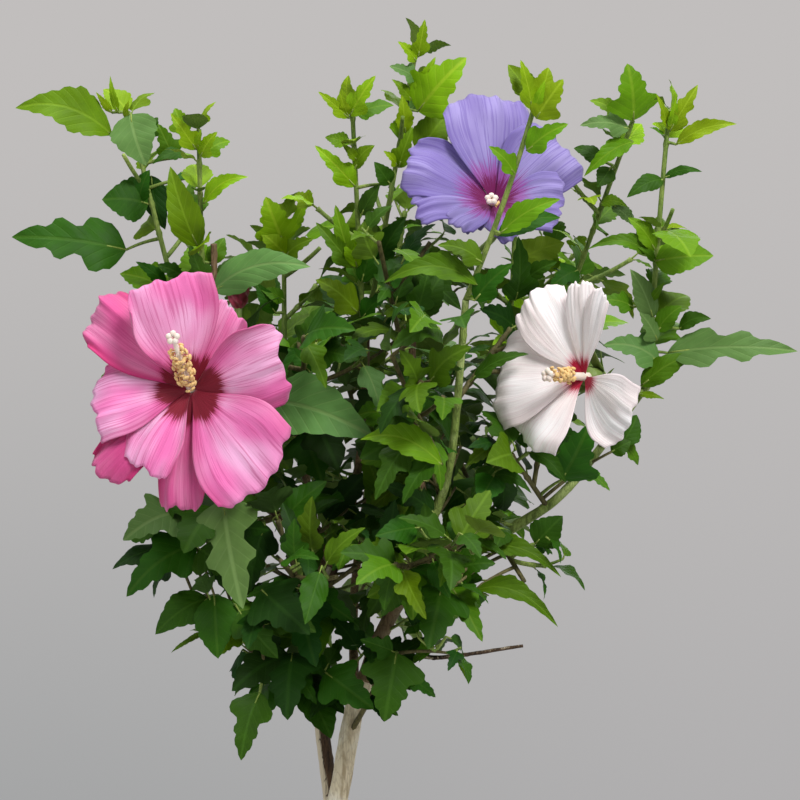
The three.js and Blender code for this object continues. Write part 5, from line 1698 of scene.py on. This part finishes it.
def leaf_group():
    """The face of a leaf: a pale midrib and side veins, between which the blade puckers, and a soft
    mottle. It reads where on its leaf a point lies: along, across, and a number of the leaf's own."""
    group, given = new_group("leaf face", ["Blade", "Vein"], [], ["Height", "Roughness"])
    along, across, own = split(group, attribute(group, "leaf_place", "Vector"))
    off = math_node(group, "ABSOLUTE", across)
    midrib = minus(group, 1.0, ramp(group, off, 0.02, 0.09))
    slant = minus(group, times(group, along, 6.5), times(group, off, 2.4))
    lines = math_node(group, "PINGPONG", slant, 0.5)
    side = minus(group, 1.0, ramp(group, lines, 0.02, 0.10))
    vein = math_node(group, "MAXIMUM", midrib, times(group, side, 0.35))
    mottle = noise_value(group, object_place(group), 130.0, 4.0)
    tone = plus(group, times(group, own, 0.35), times(group, mottle, 0.65))
    inputs = {"Color": given["Blade"], "Value": plus(group, times(group, tone, 0.7), 0.65),
              "Hue": plus(group, times(group, own, 0.03), 0.485)}
    blade = node(group, "ShaderNodeHueSaturation", inputs).outputs[0]
    color = blend(group, times(group, vein, 0.5), blade, given["Vein"])
    size = attribute(group, "leaf_size")
    pucker = times(group, size, minus(group, times(group, lines, 1.4), vein))
    rough = plus(group, times(group, mottle, 0.2), 0.5)
    node(group, "NodeGroupOutput", {"Color": color, "Height": pucker, "Roughness": rough})
    return group


leaf_face = leaf_group()


def leaf_material(name, tone):
    material, tree, shader = new_material(name, 0.5, Specular_IOR_Level=0.18)
    out = group_node(tree, leaf_face, {"Blade": rgb(*tone["upper"]), "Vein": rgb(*tone["vein"])})
    behind = node(tree, "ShaderNodeNewGeometry").outputs["Backfacing"]
    color = blend(tree, times(tree, behind, 0.75), out["Color"], rgb(*tone["under"]))
    paint(tree, shader, color, out["Roughness"])
    relief(tree, shader, out["Height"], 0.0005, 0.35)
    return material


def choose(leaf, rand):
    """The shape and the tone of a leaf, from its place on its shoot and from its mass."""
    if "look" in leaf:
        return leaf["look"]
    young = is_young(leaf["name"])
    if leaf["wide"] / leaf["long"] < 0.42:
        shape = "narrow"
    elif young:
        shares = [0.35, 0.35, 0.3] if leaf["long"] < 26 else [0.15, 0.35, 0.5]
        shape = rand.choice(["narrow", "oval", "lobed"], p=shares)
    else:
        shape = rand.choice(["lobed", "cut", "oval"], p=[0.62, 0.18, 0.2])
    # The tone paints light and shade: leaves high on a shoot and on the young shoots are made lighter as
    # painted light, and low and inner leaves darker as painted shade, besides the lighter green of young
    # leaves.
    inner = 1 - min(1.0, math.hypot(leaf["middle"][0] - 20, leaf["middle"][1] + 10) / 120)
    if young:
        light = leaf["height"] * 0.5 + 0.42
    elif leaf["name"].startswith("shoot"):
        light = leaf["height"] * 0.45 + 0.34
    elif leaf["name"] in ("leaves_low_left", "leaves_left_low", "leaves_low_centre", "leaves_inner_left"):
        light = 0.25
    else:
        light = 0.45 - inner * 0.15
    light += rand.uniform(-0.22, 0.22)
    if rand.uniform() < LEAF_LOOK["pale_share"]:
        return shape, "pale"
    tones = ["shade", "deep", "green", "fresh", "bright"]
    return shape, tones[int(min(max(light * 5, 0), 4))]


rand = np.random.default_rng(LEAF_LOOK["seed"])
templates = {name: leaf_template(shape) for name, shape in LEAF_SHAPES.items()}
sprays = {tone: [] for tone in LEAF_TONES}
for leaf in leaves:
    shape, tone = choose(leaf, rand)
    template, quads = templates[shape]
    points = leaf_points(leaf, template, rand)
    place = np.column_stack([template, np.full(len(template), rand.uniform(0, 1))])
    size = np.full(len(template), leaf["long"] / LEAF_LOOK["full_size"])
    sprays[tone].append((points, quads, place, size))

for tone, spray in sprays.items():
    look = LEAF_TONES[tone]
    obj = assemble("leaves_" + tone, [row[:2] for row in spray])
    mark(obj, "leaf_place", np.vstack([row[2] for row in spray]))
    mark(obj, "leaf_size", np.concatenate([row[3] for row in spray]))
    finished(obj, "leaves_" + tone, leaf_material("leaf_" + tone, look), *SHOOTS, slot=look["slot"])

# ---------------------------------------------------------------------------- twigs and petioles
# The soft green wood of the year and the browner older twigs, swollen where a leaf joins, and the
# thin stalks of the leaves.
TWIG_LOOK = {"node": 0.45, "node_long": 0.9, "sides": 6, "petiole": [0.5, 0.32]}


def twig_radius(twig):
    def radius(t):
        gaps = [(t - at) * twig["length"] for at in twig["nodes"]]
        swell = sum(math.exp(-(gap / TWIG_LOOK["node_long"]) ** 2) for gap in gaps)
        return mix(*twig["radius"], t) + TWIG_LOOK["node"] * min(swell, 1)
    return radius


def twig_material(name, low, high):
    material, tree, shader = new_material(name, 0.6, Specular_IOR_Level=0.3)
    middle = mix(np.array(low), np.array(high), 0.6)
    out = group_node(tree, bark_grain, {"Low": rgb(*low), "Middle": rgb(*middle), "High": rgb(*high),
                                        "Fineness": 700.0})
    paint(tree, shader, out["Color"], out["Roughness"])
    relief(tree, shader, out["Height"], 0.0002, 0.4)
    return material


TWIG_COLOURS = {"green": ((84, 110, 40), (150, 168, 84)), "brown": ((66, 60, 32), (118, 112, 68))}
PETIOLE_COLOURS = ((104, 124, 44), (160, 178, 90))

wood = {tone: [] for tone in TWIG_COLOURS}
for twig in twigs:
    tone = "green" if twig["name"].startswith("shoot") or twig["length"] < 20 else "brown"
    steps = max(3, int(twig["length"] / 2))
    wood[tone].append(tube(twig["curve"], twig_radius(twig), TWIG_LOOK["sides"], steps))
stalks = []
for leaf in leaves:
    share = LEAF_LOOK["petiole"] * 1.25
    lift = LEAF["arch"] * 4 * share * (1 - share)
    along, normal = leaf["along"] * share * leaf["long"], leaf["normal"] * lift * leaf["long"]
    curve = bezier(leaf["root"], leaf["root"] + along * 0.5 + normal * 0.6, leaf["root"] + along + normal)
    stalks.append(tube(curve, lambda t: mix(*TWIG_LOOK["petiole"], t), 4, 3))
for tone, colours in TWIG_COLOURS.items():
    name = "twigs_" + tone
    finished(assemble(name, wood[tone]), name, twig_material("twig_" + tone, *colours), slot="bark_" + tone)
petiole_green = twig_material("petiole", *PETIOLE_COLOURS)
finished(assemble("petioles", stalks), "petioles", petiole_green, slot="leaves_young")
